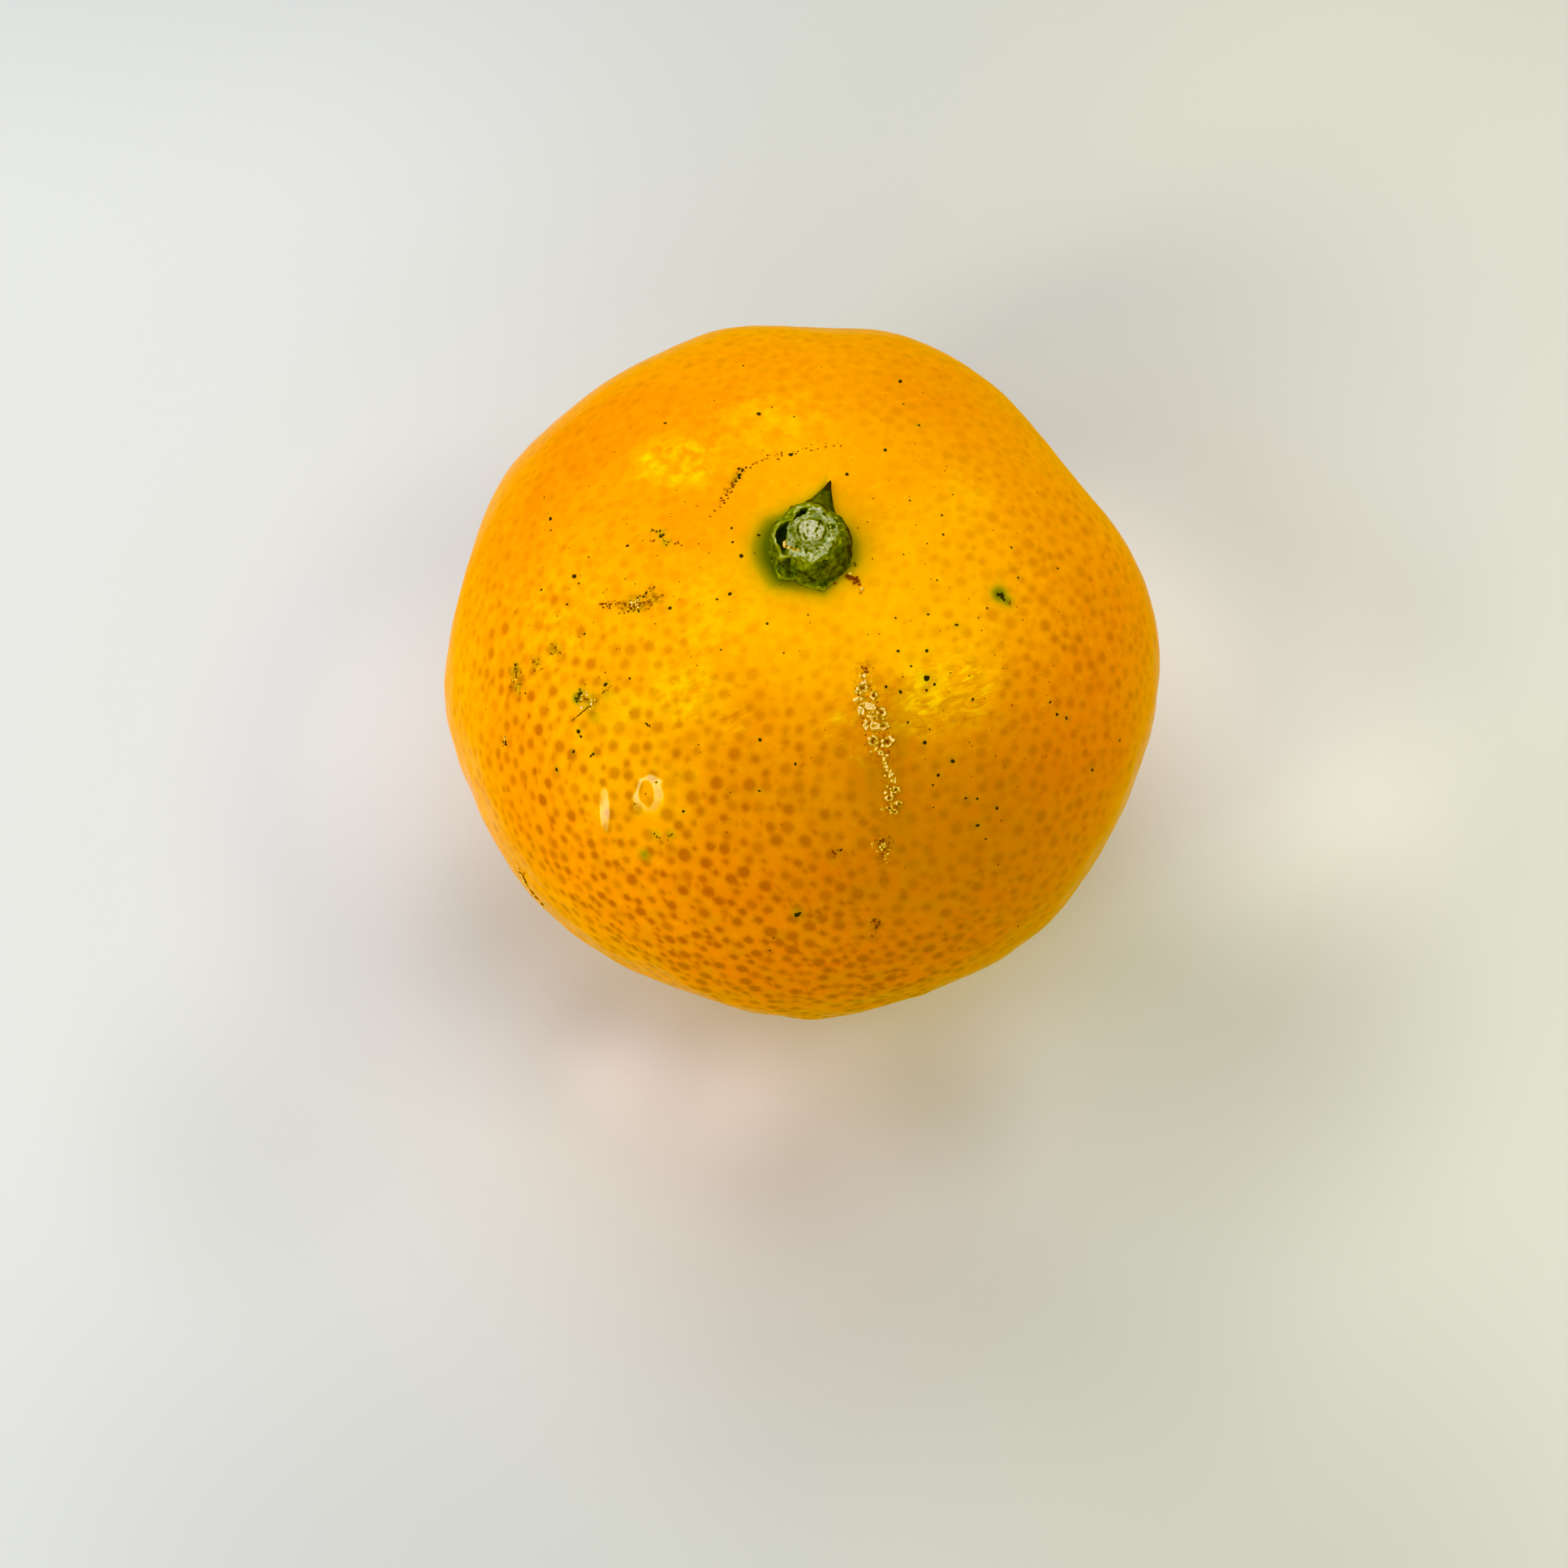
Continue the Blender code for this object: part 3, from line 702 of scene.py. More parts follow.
def crusty(name, dark_hex, pale_hex, pit_hex, grain, roughness):
    """Dead skin tissue, dry and grainy: darker and paler grains, and darkest down in its hollows."""
    material, tree, shader = new_material(name)
    place = add(tree, "TexCoord", output="Object")
    grains = add(tree, "TexNoise", {"Vector": place, "Scale": per(grain), "Detail": 3, "Roughness": 0.6})
    spread = add(tree, "MapRange", {"Value": grains, "From Min": 0.34, "From Max": 0.58})
    crust = add(
        tree, "Mix", {"Factor": spread, "A": linear(dark_hex), "B": linear(pale_hex)}, data_type="RGBA"
    )
    pit = add(tree, "Attribute", output="Fac", attribute_name="pit")
    hollow = add(tree, "Mix", {"Factor": pit, "A": crust, "B": linear(pit_hex)}, data_type="RGBA")
    bump = add(tree, "Bump", {"Height": grains, "Strength": 0.8, "Distance": 0.04 * MM})
    feed(shader, {"Base Color": hollow, "Roughness": roughness, "Specular IOR Level": 0.15, "Normal": bump})
    return material


def add_lump(builder, place, normal, size, turn, seed, hollow=0.0, detail=2):
    """A ragged flattened lump that sits on the skin; a hollow one has a raised rim round a pit."""
    pit = builder.verts.layers.float.get("pit") or builder.verts.layers.float.new("pit")
    along = Vector((cos(radians(turn)), sin(radians(turn)), 0))
    along = (along - normal * along.dot(normal)).normalized()
    across = normal.cross(along)
    length, width, height = size
    lump = bmesh.ops.create_icosphere(builder, subdivisions=detail, radius=1)
    for vertex in lump["verts"]:
        ball = vertex.co.copy()
        from_middle = hypot(ball.x, ball.y)
        outline = Vector((ball.x, ball.y, 0)).normalized() * 1.3 if from_middle > 0.01 else Vector()
        ragged = 1 + 0.34 * noise.noise(outline + Vector((seed, 0, 0)))
        ragged += 0.20 * noise.noise(outline * 2.6 + Vector((0, seed, 0)))
        lift = ball.z * (0.75 + 0.5 * noise.noise(ball * 1.9 + Vector((0, 0, seed))))
        lean = 0.25 * noise.noise(Vector((seed, seed, 0)))
        inside = exp(-(((from_middle + lean * ball.x) / 0.46) ** 4)) if ball.z > 0 else 0
        rim_height = 0.7 + 0.9 * noise.noise(outline * 2 + Vector((seed, 9, 0)))
        rim = exp(-(((from_middle - 0.78) / 0.2) ** 2)) * rim_height
        lift += hollow * (0.8 * rim - 0.55 * inside) if ball.z > 0 else 0
        vertex[pit] = hollow * inside
        vertex.co = (
            place
            + along * (ball.x * ragged * length / 2)
            + across * (ball.y * ragged * width / 2)
            + normal * (lift * height)
        )


def make_marks(surface):
    """Scar, scabs, punctures and dust: many small crusts, joined by what they are made of."""
    builders = {name: bmesh.new() for name in ("cork", "scab", "sap")}
    draw = random.Random(11)

    def seat(x, y):
        return surface.ray_cast(Vector((x * MM, y * MM, 0.1)), Vector((0, 0, -1)))[:2]

    def crumb(stuff, place, normal, size):
        if place is None:
            return
        stretch = draw.uniform(0.6, 1.0)
        shape = (size * MM, size * stretch * MM, CRUMB_HEIGHT * size * MM)
        add_lump(builders[stuff], place, normal, shape, draw.uniform(0, 180), draw.uniform(0, 99))

    for number, (x, y, length, width, turn, hollow) in enumerate(SCAR_CELLS):
        place, normal = seat(x, y)
        shape = (CELL_SPREAD * length * MM, CELL_SPREAD * width * MM, CELL_HEIGHT)
        add_lump(builders["cork"], place, normal, shape, turn, 3.7 * number, hollow, detail=4)
    for x, y, end_x, end_y, stray, count, least, most, stuff in CRUMBS:
        for number in range(count):
            share = (number + draw.random()) / count
            at_x = x + (end_x - x) * share + draw.gauss(0, stray)
            at_y = y + (end_y - y) * share + draw.gauss(0, stray)
            crumb(stuff, *seat(at_x, at_y), draw.uniform(least, most))
    for x, y, stray, count in DUSTINGS:
        for _ in range(count):
            spot = seat(x + draw.gauss(0, stray), y + draw.gauss(0, stray))
            crumb("scab" if draw.random() < 0.6 else "sap", *spot, draw.uniform(*DUST_SIZE))
    for x, y, radius, _ in PUNCTURES:
        crumb("sap", *seat(x, y), DOT_WIDTH * radius)
    for x, y, height, size, stuff in CAUGHT_GRAINS:
        place, normal = seat(STEM.x / MM + x, STEM.y / MM + y)
        shape = (size * MM, size * draw.uniform(0.6, 0.9) * MM, CAUGHT_HEIGHT * size * MM)
        place = place + normal * height * MM
        add_lump(builders[stuff], place, normal, shape, draw.uniform(0, 180), draw.uniform(0, 99))
    (azimuth, elevation), (end_azimuth, end_elevation), count = SIDE_SCAB
    for number in range(count):
        share = (number + draw.random()) / count
        direction = around(
            azimuth + (end_azimuth - azimuth) * share + draw.gauss(0, 0.5),
            elevation + (end_elevation - elevation) * share + draw.gauss(0, 0.8),
        )
        place, normal = surface.ray_cast(HEART, direction)[:2]
        crumb(draw.choice(("cork", "scab", "sap")), place, normal, draw.uniform(0.14, 0.42))

    materials = {
        "cork": crusty("dry cork, flaking", "7E3C10", "FFD8A6", "7A2008", 0.26 * MM, 0.75),
        "scab": crusty("brown scab, grainy", "4E1806", "8E3E0A", "2A1602", 0.15 * MM, 0.8),
        "sap": crusty("dried sap, blackened", "0E0804", "2E1E0A", "050302", 0.15 * MM, 0.7),
    }
    for stuff, builder in builders.items():
        crusts = make_object("peel_" + stuff, builder, materials[stuff])
        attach(crusts, "root")


# ---- calyx ----

# Bearings are in degrees round the stem's axis; distances from it and heights above the skin are in mm.
CALYX_CELLS = 112
CUP_FOOT = 3.15
CUP_WALL = 0.15
SEPAL_THICKNESS = 0.10
# Torn rim of the cup: bearing, distance from the axis.
TORN_RIM = (
    (0, 2.15), (30, 2.10), (52, 2.00), (77, 2.40), (96, 2.28), (112, 2.30), (125, 2.15), (138, 1.95),
    (147, 1.85), (158, 2.40), (170, 2.80), (182, 2.95), (195, 2.85), (207, 2.72), (222, 2.95), (233, 2.50),
    (245, 2.40), (262, 2.50), (285, 2.45), (310, 2.20), (335, 2.10),
)
# Height of that rim.
RIM_HEIGHT = (
    (0, 2.60), (60, 2.85), (110, 2.90), (147, 2.85), (165, 2.50), (185, 2.25), (205, 2.20), (222, 2.30),
    (240, 2.65), (270, 2.75), (310, 2.65),
)
# How far down the hollow between rim and stump goes: two torn pockets, shut elsewhere.
POCKET_DEPTH = (
    (0, 0.1), (98, 0.1), (106, 1.2), (130, 1.3), (138, 0.3), (152, 0.5), (162, 0.9), (200, 0.9),
    (211, 0.25), (225, 0.1),
)
SEPAL_HOLLOW = 0.65  # below 1 the sides of a sepal curve in towards its point
SPIKE, SPIKE_SPREAD = 74, 22  # bearing of the long sepal's root and how wide it runs
DENT = 236  # bearing of the hollow under the torn left rim
# The five sepals: bearing of the tip, its distance from the axis, how many degrees it spreads clockwise
# and the other way, how sharply it narrows, how high its root stands.
SEPALS = (
    (80, 6.22, 44, 74, 2.6, 1.3),
    (146, 3.50, 26, 26, 1.1, 0.1),
    (228, 3.66, 20, 20, 1.0, 0.3),
    (285, 3.90, 26, 26, 1.1, 0.4),
    (337, 3.42, 18, 18, 1.0, 0.3),
)


def round_the_stem(table, bearings, blur=6):
    """Reads a table of (bearing, value) pairs at any bearing, smoothed over a few degrees."""
    places = np.arange(360)
    known = np.array(table, dtype=float)
    values = np.interp(places, known[:, 0], known[:, 1], period=360)
    window = np.hanning(2 * blur + 1)
    padded = np.concatenate((values[-blur:], values, values[:blur]))
    smooth = np.convolve(padded, window / window.sum(), mode="valid")
    return np.interp(bearings, places, smooth, period=360)


def turn_between(bearing, other):
    """Signed angle in degrees from one bearing to another, the short way round."""
    return (bearing - other + 180) % 360 - 180


def calyx_edge(bearings):
    """Outline of the calyx on the skin: a foot drawn out into five sepals."""
    skirt = CUP_FOOT + 0.05
    reach = np.full(len(bearings), skirt)
    for tip, tip_reach, clockwise, onwards, sharpness, _ in SEPALS:
        turn = turn_between(bearings, tip)
        share = 1 - np.clip(np.where(turn < 0, -turn / clockwise, turn / onwards), 0, 1) ** SEPAL_HOLLOW
        reach = np.maximum(reach, skirt + (tip_reach - skirt) * share**sharpness)
    return reach


def green_calyx():
    """Living calyx tissue, dark green and leathery, with dry margins and corky torn edges."""
    material, tree, shader = new_material("green calyx, leathery with dry torn edges")
    place = add(tree, "TexCoord", output="Object")

    # Mottled greens, from nearly black through bottle green to olive, in blotches under 1 mm.
    patches = add(
        tree, "TexNoise", {"Vector": place, "Scale": per(0.75 * MM), "Detail": 5, "Roughness": 0.65}
    )
    greens = ((0.37, "10160A"), (0.47, "48541A"), (0.58, "66702C"), (0.68, "868E42"))
    colour = add(tree, "ValToRGB", {"Fac": patches}, stops=greens)

    crumbs = add(tree, "TexNoise", {"Vector": place, "Scale": per(0.30 * MM), "Detail": 4})
    cork = add(
        tree, "Mix", {"Factor": crumbs, "A": linear("6E7C4C"), "B": linear("DAD8B6")}, data_type="RGBA"
    )
    layers = (
        ("margin", linear("98A03A")),  # yellow-green, where the sepals dry out and turn thin
        ("torn", cork),  # pale cork along the tears
        # Dead brown at the tips and edges, and painted shade on the right-hand wall.
        ("browned_and_shaded", linear("26160A")),  # dead brown edge of the sheltered side and tips
        # Painted shade down in the pockets and in the hollow under the torn left rim.
        ("painted_pocket_shade", linear("283A0C")),  # down in the pockets
    )
    for name, over in layers:
        amount = add(tree, "Attribute", output="Fac", attribute_name=name)
        colour = add(tree, "Mix", {"Factor": amount, "A": colour, "B": over}, data_type="RGBA")

    skin = add(tree, "TexNoise", {"Vector": place, "Scale": per(0.22 * MM), "Detail": 4})
    bump = add(tree, "Bump", {"Height": skin, "Strength": 0.8, "Distance": 0.08 * MM})
    feed(shader, {"Base Color": colour, "Roughness": 0.55, "Normal": bump})
    feed(shader, {"IOR": 1.45, "Specular IOR Level": 0.12})
    return material


def skin_heights(skin, x, y):
    """Height of the peel straight below each point, in metres."""
    return np.array([skin.ray_cast(Vector((a, b, 0.1)), Vector((0, 0, -1)))[0].z for a, b in zip(x, y)])


def ball_places(mesh):
    """For each vertex of an even ball: its place, its bearing, and 0 at a pole to 1 at the equator."""
    ball = points_of(mesh)
    bearings = np.degrees(np.arctan2(ball[:, 1], ball[:, 0])) % 360
    from_pole = np.degrees(np.arctan2(np.hypot(ball[:, 0], ball[:, 1]), np.abs(ball[:, 2]))) / 90
    return ball, bearings, from_pole


def make_calyx(skin, material):
    """A flattened ball: its lower half follows the skin, its upper half is pocket, rim, wall and sepals."""
    calyx = make_object("calyx_cup", even_ball(CALYX_CELLS), material)
    mesh = calyx.data
    ball, bearings, from_pole = ball_places(mesh)
    on_top = ball[:, 2] > 0
    on_spike = bell(turn_between(bearings, SPIKE), SPIKE_SPREAD)

    wander = noise_at(ball * 1.2, 0.35)
    rim = round_the_stem(TORN_RIM, bearings + 3 * wander, 4)
    rim += 0.10 * noise_at(ball, 0.09, 3) + 0.05 * noise_at(ball, 0.035, 4)
    rim_height = round_the_stem(RIM_HEIGHT, bearings) + 0.20 * noise_at(ball, 0.12, 9) * (1 - on_spike)
    rim_height += 0.10 * noise_at(ball, 0.045, 10) * (1 - on_spike)
    pocket = round_the_stem(POCKET_DEPTH, bearings, 4)
    frill = 0.12 * noise_at(ball, 0.10, 5) + 0.07 * noise_at(ball, 0.035, 6)
    edge = calyx_edge(bearings) + frill * (1 - 0.8 * on_spike)
    edge -= 0.30 * bell(turn_between(bearings, 247), 9) + 0.25 * bell(turn_between(bearings, 10), 30)
    root_height = np.full(len(ball), 0.22)
    for tip, _, clockwise, _, _, rise in SEPALS:
        root_height += rise * bell(turn_between(bearings, tip), clockwise * 0.6)

    # Down the section: pocket floor, up to the rim, over it, down the bulging wall, out along the sepal.
    floor_end, rim_start, rim_end, foot = 0.34, 0.42, 0.47, 0.80
    inner = np.clip((from_pole - floor_end) / (rim_start - floor_end), 0, 1)
    top = np.clip((from_pole - rim_start) / (rim_end - rim_start), 0, 1)
    wall = np.clip((from_pole - rim_end) / (foot - rim_end), 0, 1)
    leaf = np.clip((from_pole - foot) / (1 - foot), 0, 1)
    distance = np.where(from_pole < floor_end, (rim - CUP_WALL - 0.1) * from_pole / floor_end, rim - CUP_WALL)
    distance += np.where(from_pole < floor_end, 0, (inner - 1) * 0.1)
    distance += top * CUP_WALL
    bulge = np.sin(wall * pi / 2) ** 0.85
    distance += (CUP_FOOT - rim) * (bulge + (wall - bulge) * on_spike)
    distance += (edge - CUP_FOOT) * leaf
    height = rim_height - pocket * (1 - smooth_step(0, 1, inner))
    drop = 1 - np.cos(wall * pi / 2) ** 1.1
    height += (root_height - rim_height) * (drop + (wall - drop) * on_spike)
    settle = smooth_step(0, 1, leaf) ** 0.8
    height += (SEPAL_THICKNESS - root_height) * (settle + (leaf - settle) * on_spike)
    height += 0.35 * on_spike * smooth_step(0.6, 1, leaf)
    curl = np.maximum(0, noise_at(ball, 0.16, 12)) * 0.9
    height += curl * smooth_step(0.5, 1, leaf) * (1 - on_spike)

    # Veins run down the wall, with lumps between. There is a deep hollow under the torn left rim, and a
    # ridge beside the long sepal.
    on_wall = smooth_step(0.05, 0.35, wall) * (1 - smooth_step(0.5, 1, leaf))
    veins = np.cos(np.radians(bearings * 11 + 40 * wander))
    height += on_wall * 0.06 * veins * (1 - 0.6 * on_spike)
    lumps = noise_at(ball, 0.17, 20) + 0.5 * noise_at(ball, 0.07, 21)
    distance += on_wall * 0.15 * lumps * (1 - 0.6 * on_spike)
    dent = bell(turn_between(bearings, DENT), 10) * bell(wall - 0.6, 0.35) * (1 - leaf)
    distance -= 0.75 * dent
    ridge = bell(turn_between(bearings, 62), 5) * bell(leaf + wall - 1.1, 0.9)
    height += 0.12 * ridge

    turn = np.radians(bearings - 5 * on_spike * leaf**4)
    x = STEM.x + distance * np.cos(turn) * MM
    y = STEM.y + distance * np.sin(turn) * MM
    z = skin_heights(skin, x, y) + np.where(on_top, height, 0) * MM
    points = np.stack((x, y, z), axis=1)
    softened = relax(mesh, points.copy(), 1)
    points = np.where((on_top & (leaf < 0.6))[:, None], softened, points)
    put_points(mesh, points)

    opened = smooth_step(0.5, 1.2, pocket)
    near_rim = bell(from_pole - 0.445, 0.035)
    torn = near_rim * (0.45 + 0.65 * opened)
    torn += 0.9 * bell(turn_between(bearings, 226), 13) * bell(from_pole - 0.46, 0.06)
    torn += 0.55 * bell(from_pole - 0.50, 0.05) * smooth_step(-0.1, 0.5, noise_at(ball, 0.08, 30))
    keep_value(mesh, "torn", np.clip(torn + 0.3 * lumps * near_rim, 0, 1) * on_top)
    sunny = smooth_step(0, 1, np.cos(np.radians(bearings - 250)) * 1.6 + 0.2)
    margin = smooth_step(0.35, 0.95, leaf) * sunny * (0.85 + 0.5 * noise_at(ball, 0.2, 8))
    keep_value(mesh, "margin", np.clip(margin, 0, 1))
    browned_and_shaded = smooth_step(4.9, 5.4, distance)
    # Painted shade on the right-hand wall.
    browned_and_shaded += 0.95 * bell(turn_between(bearings, 22), 30) * smooth_step(0.25, 0.7, wall)
    blotches = smooth_step(-0.4, 0.3, noise_at(ball, 0.13, 17))
    # More painted shade on the right-hand wall, in blotches.
    browned_and_shaded += 0.75 * bell(turn_between(bearings, 344), 36) * smooth_step(0.1, 0.5, wall) * blotches
    browned_and_shaded += 0.6 * bell(turn_between(bearings, 96), 8) * smooth_step(0.7, 1, wall)
    browned_and_shaded += 0.7 * smooth_step(0.80, 1.0, leaf) * smooth_step(0.2, 0.5, noise_at(ball, 0.15, 14))
    browned_and_shaded += 0.40 * on_spike * smooth_step(0.1, 0.5, wall) * (0.7 + 0.6 * blotches)
    keep_value(mesh, "browned_and_shaded", np.clip(browned_and_shaded, 0, 1) * on_top)
    # Painted shade in the open pockets and in the hollow under the torn left rim.
    painted_pocket_shade = (1 - smooth_step(0.36, 0.43, from_pole)) * smooth_step(0.2, 0.7, pocket) + 0.9 * dent
    keep_value(mesh, "painted_pocket_shade", np.clip(painted_pocket_shade, 0, 1) * on_top)
    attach(calyx, "root")
    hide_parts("calyx")


# ---- stump of the stem ----

STUMP_CELLS = 100
# Outline of the broken wood: bearing, distance from the axis.
STUMP_EDGE = (
    (0, 2.05), (29, 2.00), (52, 1.85), (70, 2.20), (84, 2.30), (97, 1.85), (107, 1.45), (129, 1.47),
    (144, 1.62), (160, 1.75), (181, 1.77), (202, 1.95), (212, 2.20), (224, 2.50), (238, 2.50), (252, 2.25),
    (266, 2.50), (279, 2.50), (295, 2.20), (327, 1.95), (349, 1.98),
)
PITH_RADIUS = 0.98
STUMP_TOP = 3.15


def broken_wood():
    """Snapped stem, dried: creamy granular pith, then green-grey wood with chalky grains on its rim."""
    material, tree, shader = new_material("snapped stem, dry pith and bark")
    place = add(tree, "TexCoord", output="Object")
    grains = add(tree, "TexNoise", {"Vector": place, "Scale": per(0.26 * MM), "Detail": 4, "Roughness": 0.6})
    wood, chalk, core = (
        add(tree, "ValToRGB", {"Fac": grains}, stops=stops)
        for stops in (
            ((0.28, "5E6A62"), (0.47, "7A8680"), (0.66, "9CA48A")),
            ((0.30, "66706A"), (0.45, "949E8E"), (0.60, "C4C8A2")),
            ((0.30, "6E7266"), (0.42, "A8AA98"), (0.58, "CCCBAC")),
        )
    )
    colour = wood
    for name, over in (("chalky", chalk), ("pith", core), ("cracks", linear("3A4036"))):
        amount = add(tree, "Attribute", output="Fac", attribute_name=name)
        colour = add(tree, "Mix", {"Factor": amount, "A": colour, "B": over}, data_type="RGBA")
    bump = add(tree, "Bump", {"Height": grains, "Strength": 0.9, "Distance": 0.10 * MM})
    feed(shader, {"Base Color": colour, "Roughness": 0.8, "Specular IOR Level": 0.25, "Normal": bump})
    return material


def make_stump(skin, material):
    """A flattened ball again: a ragged plug, ringed round the pith, that crumbles at its edge."""
    stump = make_object("stem_stump", even_ball(STUMP_CELLS), material)
    mesh = stump.data
    ball, bearings, from_pole = ball_places(mesh)
    on_top = ball[:, 2] >= 0

    edge = round_the_stem(STUMP_EDGE, bearings, 4)
    edge += 0.13 * noise_at(ball, 0.10, 31) + 0.07 * noise_at(ball, 0.04, 32)
    face = 0.86
    distance = edge * np.clip(from_pole / face, 0, 1)
    x = STEM.x + distance * np.cos(np.radians(bearings)) * MM
    y = STEM.y + distance * np.sin(np.radians(bearings)) * MM
    flat = np.stack((x, y, np.zeros(len(x))), axis=1)
    ring = distance + 0.14 * noise_at(flat, 0.8 * MM, 1) + 0.05 * noise_at(flat, 0.25 * MM, 7)
    uneven = 0.5 + 0.5 * noise_at(flat, 1.1 * MM, 15)

    height = np.full(len(ball), STUMP_TOP)
    groove = bell(ring - PITH_RADIUS - 0.05, 0.10) * smooth_step(0.75, 0.35, uneven)
    second = bell(ring - 1.38, 0.09) * smooth_step(0.3, 0.7, uneven)
    third = bell(ring - 1.68, 0.09) * smooth_step(0.7, 0.3, uneven)
    height -= 0.20 * groove + 0.12 * second + 0.14 * third
    height += 0.08 * smooth_step(PITH_RADIUS + 0.05, PITH_RADIUS - 0.2, ring)
    height += 0.15 * noise_at(flat, 0.42 * MM, 2) + 0.10 * noise_at(flat, 0.17 * MM, 3)
    height -= 0.5 * np.maximum(distance - 1.7, 0) ** 1.2
    sunk = 1.7 * np.clip((from_pole - face) / (1 - face), 0, 1)
    height = np.where(on_top, height - sunk, 1.1)
    points = np.stack((x, y, skin_heights(skin, x, y) + height * MM), axis=1)
    points[:, 2] = np.minimum(points[:, 2], STUB_HIGH.z)
    put_points(mesh, points)

    keep_value(mesh, "pith", smooth_step(PITH_RADIUS + 0.10, PITH_RADIUS - 0.05, ring))
    from_rim = np.abs(distance - edge * 0.86) / 0.45
    chalky = smooth_step(0.85, 0.55, from_rim) * smooth_step(0.25, 0.6, uneven + 0.15)
    chalky *= 1 - bell(turn_between(bearings, 185), 38)
    keep_value(mesh, "chalky", np.clip(chalky, 0, 1))
    cracks = 0.75 * groove + 0.4 * second + 0.5 * third
    cracks += np.clip(noise_at(flat, 0.24 * MM, 4) - 0.16, 0, 1) * 2.4
    keep_value(mesh, "cracks", np.clip(cracks, 0, 1) * np.where(sunk > 0, 0.5, 1))
    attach(stump, "root")
    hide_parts("stem_stub")


# ---- floor, light and camera ----

# Painted shadows and painted light on the board round the fruit, darker or paler: X and Y in mm, how far each
# reaches, and what it multiplies the colour by at its middle.
PAINTED_FLOOR_SHADING = (
    (8, 50, 70, 0.84), (5, -85, 80, 0.80), (-38, 4, 26, 1.14), (43, 2, 26, 1.27), (62, 30, 34, 1.08),
    (27, 18, 22, 1.36), (40, -24, 28, 0.80), (4, -50, 28, 0.88), (0, -38, 12, 0.92), (-5, -31, 9, 1.12),
    (13, -31, 12, 0.84), (-18, -23, 7, 0.92), (-28, -15, 12, 0.90), (-16, -29, 8, 1.14),
    (-50, -75, 50, 0.90), (50, -75, 45, 0.88), (26, -48, 26, 0.88), (-48, -34, 22, 0.90),
)
SHADED_BACK = (58 * MM, 110 * MM, 0.86)  # from the first Y to the second the board darkens to this share
FLOOR_HALF_SIZE = 1.6


def pale_floor():
    """Matt painted board, off-white, with painted soft shadows and pools of light in its colour, and almost
    no shine.
    """
    material, tree, shader = new_material("off-white painted board")
    place = add(tree, "TexCoord", output="Object")

    # Cooler on the left, a little warmer on the right.
    across = add(tree, "SeparateXYZ", {"Vector": place}, output="X")
    warmer = add(
        tree, "MapRange", {"Value": across, "From Min": -60 * MM, "From Max": 60 * MM},
        interpolation_type="SMOOTHSTEP",
    )
    colour = add(
        tree, "Mix", {"Factor": warmer, "A": linear("D3D6DC"), "B": linear("D5D7CF")}, data_type="RGBA"
    )
    # Faintly rosy in front of the fruit: painted shadow, tinted by orange light thrown back from the fruit.
    off = add(tree, "VectorMath", {0: place, 1: (-2 * MM, -36 * MM, 0)}, operation="DISTANCE")
    painted_rosy_shadow = add(
        tree, "MapRange", {"Value": off, "From Max": 36 * MM, "To Min": 0.6, "To Max": 0},
        interpolation_type="SMOOTHSTEP",
    )
    colour = add(tree, "Mix", {"Factor": painted_rosy_shadow, "A": colour, "B": linear("D8CCCE")}, data_type="RGBA")
    # Painted shadows and pools of light, one soft round patch each.
    for x, y, reach, left in PAINTED_FLOOR_SHADING:
        away = add(tree, "VectorMath", {0: place, 1: (x * MM, y * MM, 0)}, operation="DISTANCE")
        painted_shading = add(
            tree, "MapRange", {"Value": away, "From Max": reach * MM, "To Min": left, "To Max": 1},
            interpolation_type="SMOOTHSTEP",
        )
        colour = add(tree, "VectorMath", {0: colour, "Scale": painted_shading}, operation="SCALE")
    start, end, left = SHADED_BACK
    back = add(tree, "SeparateXYZ", {"Vector": place}, output="Y")
    shaded = add(
        tree, "MapRange", {"Value": back, "From Min": start, "From Max": end, "To Min": 1, "To Max": left},
        interpolation_type="SMOOTHSTEP",
    )
    colour = add(tree, "VectorMath", {0: colour, "Scale": shaded}, operation="SCALE")
    feed(shader, {"Base Color": colour, "Roughness": 0.6, "Specular IOR Level": 0.2})
    return material


def make_floor():
    builder = bmesh.new()
    bmesh.ops.create_grid(builder, x_segments=8, y_segments=8, size=FLOOR_HALF_SIZE)
    floor = make_object("floor", builder, pale_floor())


# Where each light stands as seen from the fruit: azimuth, elevation, width and height in degrees,
# then how bright it looks beside the pale room, and its colour.
LIGHTS = {
    "low side window": (216, 14, 5, 19, 14.0, "FAFFCC"),
    "side window": (218, 31, 13, 16, 13.0, "FAFFCC"),
    "right ceiling panel": (358, 52, 20, 11, 10.4, "FFF2BC"),
    "left ceiling panel": (205, 57, 12, 8, 6.0, "FFF4C8"),
    "left bounce": (208, 10, 40, 30, 0.90, "FFFFFF"),
    "overhead": (75, 68, 50, 50, 0.6, "FFFFFF"),
    "window wall": (168, 32, 60, 44, 1.45, "FFFFFF"),
}
LIGHT_DISTANCE = 1.0
ROOM_BRIGHTNESS = 0.56
ROOM_LEAN = (0.33, 0.48, 0.0)  # the room is this much brighter to the right and at the back


def soft_light(name, azimuth, elevation, wide, tall, brightness, colour):
    """A rectangular studio light that faces the fruit."""
    data = bpy.data.lights.new(name, "AREA")
    data.shape = "RECTANGLE"
    data.size = 2 * LIGHT_DISTANCE * tan(radians(wide / 2))
    data.size_y = 2 * LIGHT_DISTANCE * tan(radians(tall / 2))
    data.energy = brightness * pi * data.size * data.size_y
    data.color = linear(colour)[:3]
    light = bpy.data.objects.new(name, data)
    direction = around(azimuth, elevation)
    light.location = HEART + direction * LIGHT_DISTANCE
    light.rotation_mode = "QUATERNION"
    light.rotation_quaternion = (-direction).to_track_quat("-Z", "Y")
    bpy.context.scene.collection.objects.link(light)


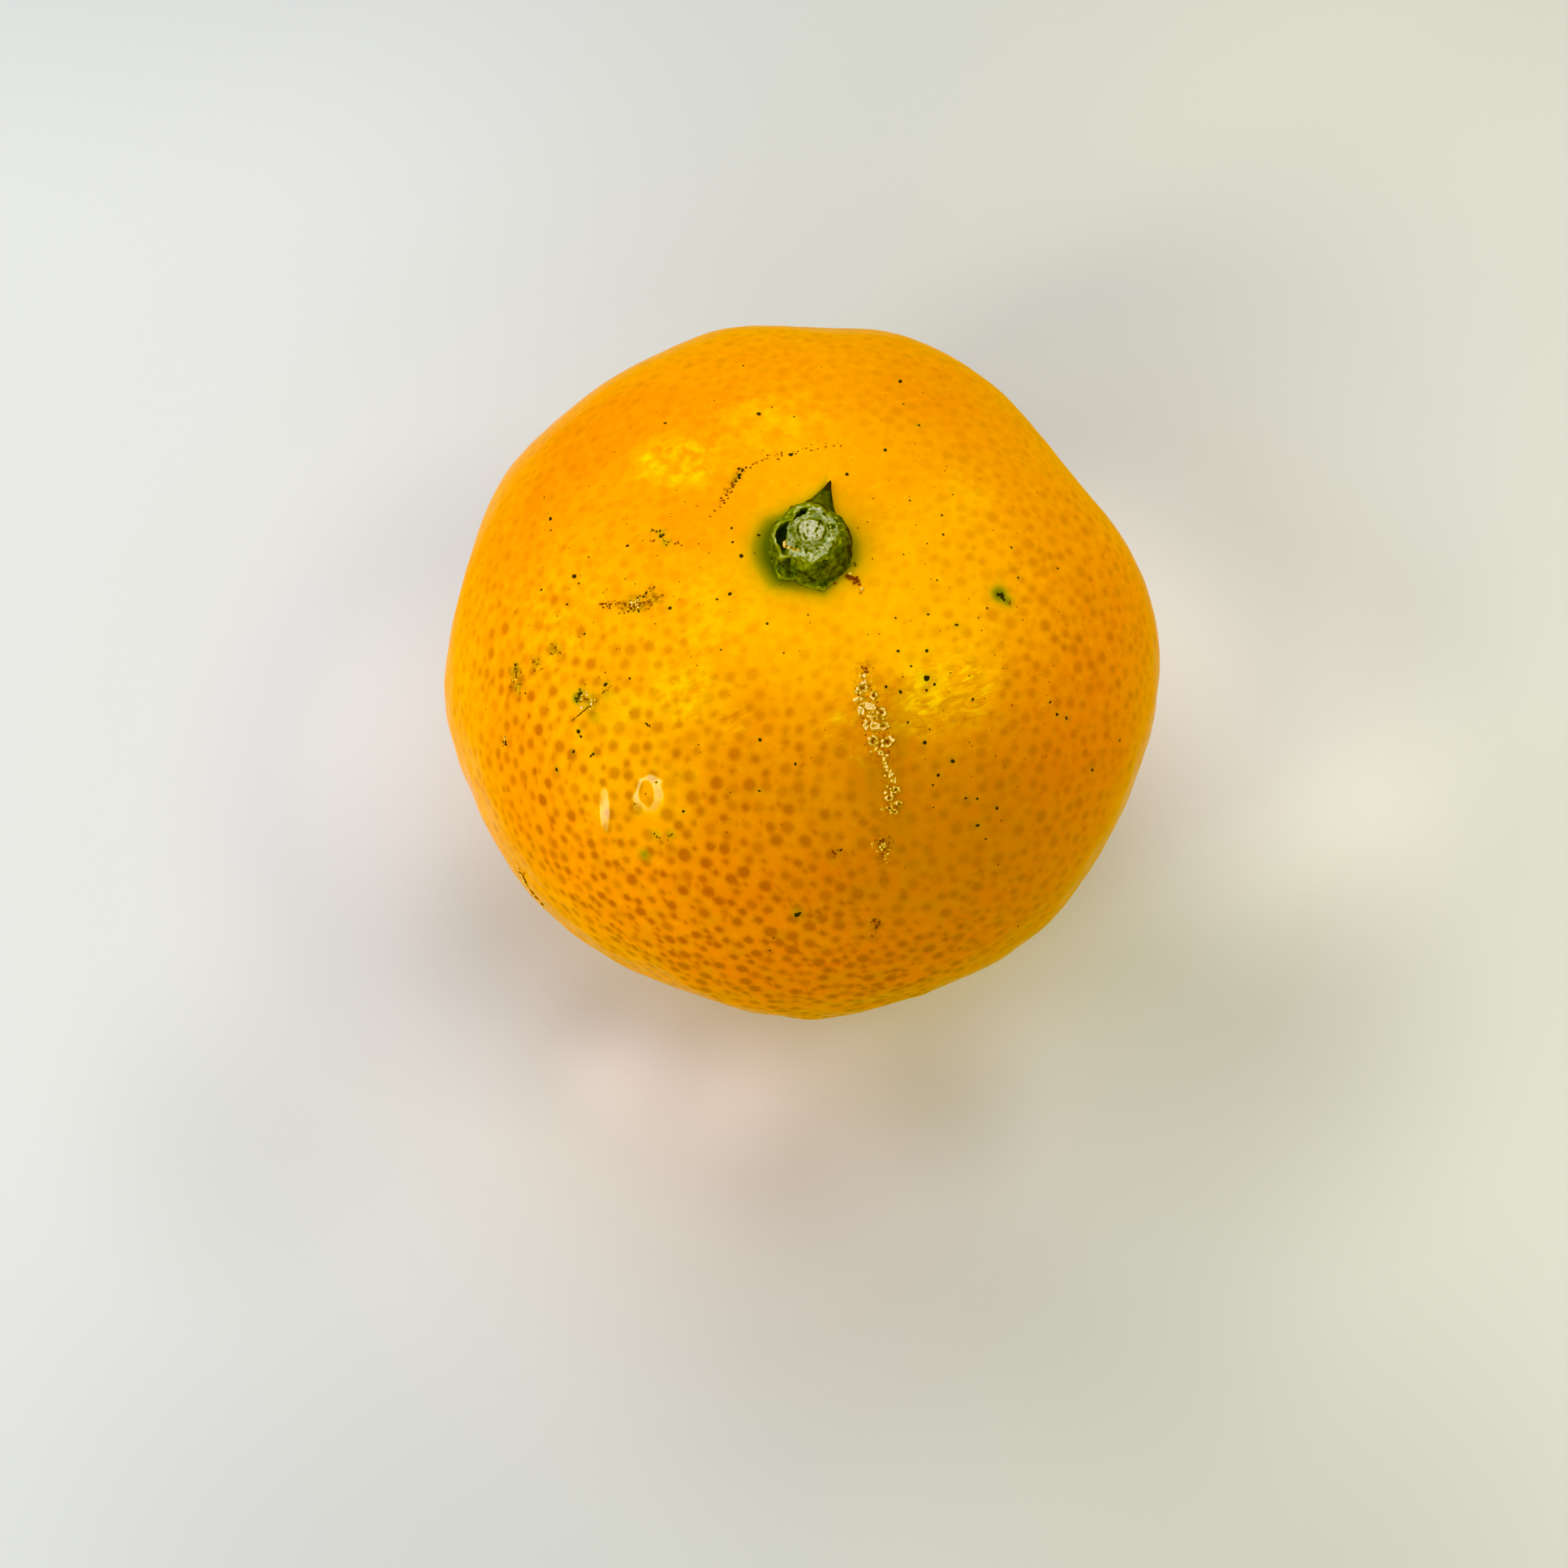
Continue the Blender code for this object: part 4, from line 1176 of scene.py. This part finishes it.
def light_the_scene():
    world = bpy.data.worlds.new("pale room")
    world.use_nodes = True
    bpy.context.scene.world = world
    tree = world.node_tree
    background = tree.nodes["Background"]
    direction = add(tree, "TexCoord", output="Generated")
    lean = add(tree, "VectorMath", {0: direction, 1: ROOM_LEAN}, operation="DOT_PRODUCT")
    strength = add(
        tree, "Math", {0: lean, 1: ROOM_BRIGHTNESS, 2: ROOM_BRIGHTNESS}, operation="MULTIPLY_ADD"
    )
    feed(background, {"Color": linear("F8F9FA"), "Strength": strength})
    for name, facts in LIGHTS.items():
        soft_light(name, *facts)


def grade_the_view():
    """A vivid grade: the last of the blue goes out of deep oranges, and pale tones keep theirs."""
    view = bpy.context.scene.view_settings
    view.view_transform = "Standard"
    view.use_curve_mapping = True
    blue = view.curve_mapping.curves[2]
    for level, kept in ((0.13, 0.002), (0.27, 0.19), (0.46, 0.46)):
        blue.points.new(level, kept)
    view.curve_mapping.update()


CAMERA_ELEVATION = 66.0
CAMERA_DISTANCE = 0.22
CAMERA_LENS = 59.0
AIM_LEFT, AIM_BELOW = 1.28 * MM, 9.7 * MM  # the fruit stands above the middle of the view


def place_camera():
    rise = radians(CAMERA_ELEVATION)
    towards = Vector((0, -cos(rise), sin(rise)))
    upward = Vector((0, sin(rise), cos(rise)))
    data = bpy.data.cameras.new("camera")
    data.lens = CAMERA_LENS
    data.sensor_width = 36
    data.clip_start = 0.01
    camera = bpy.data.objects.new("camera", data)
    camera.location = HEART + towards * CAMERA_DISTANCE
    aim = HEART - Vector((AIM_LEFT, 0, 0)) - upward * AIM_BELOW
    camera.rotation_mode = "QUATERNION"
    camera.rotation_quaternion = (aim - camera.location).to_track_quat("-Z", "Y")
    bpy.context.scene.collection.objects.link(camera)
    bpy.context.scene.camera = camera


peel = make_peel(ripe_peel())
peel_surface = BVHTree.FromObject(peel, bpy.context.evaluated_depsgraph_get())
make_calyx(peel_surface, green_calyx())
make_stump(peel_surface, broken_wood())
make_marks(peel_surface)
make_floor()
light_the_scene()
place_camera()
grade_the_view()
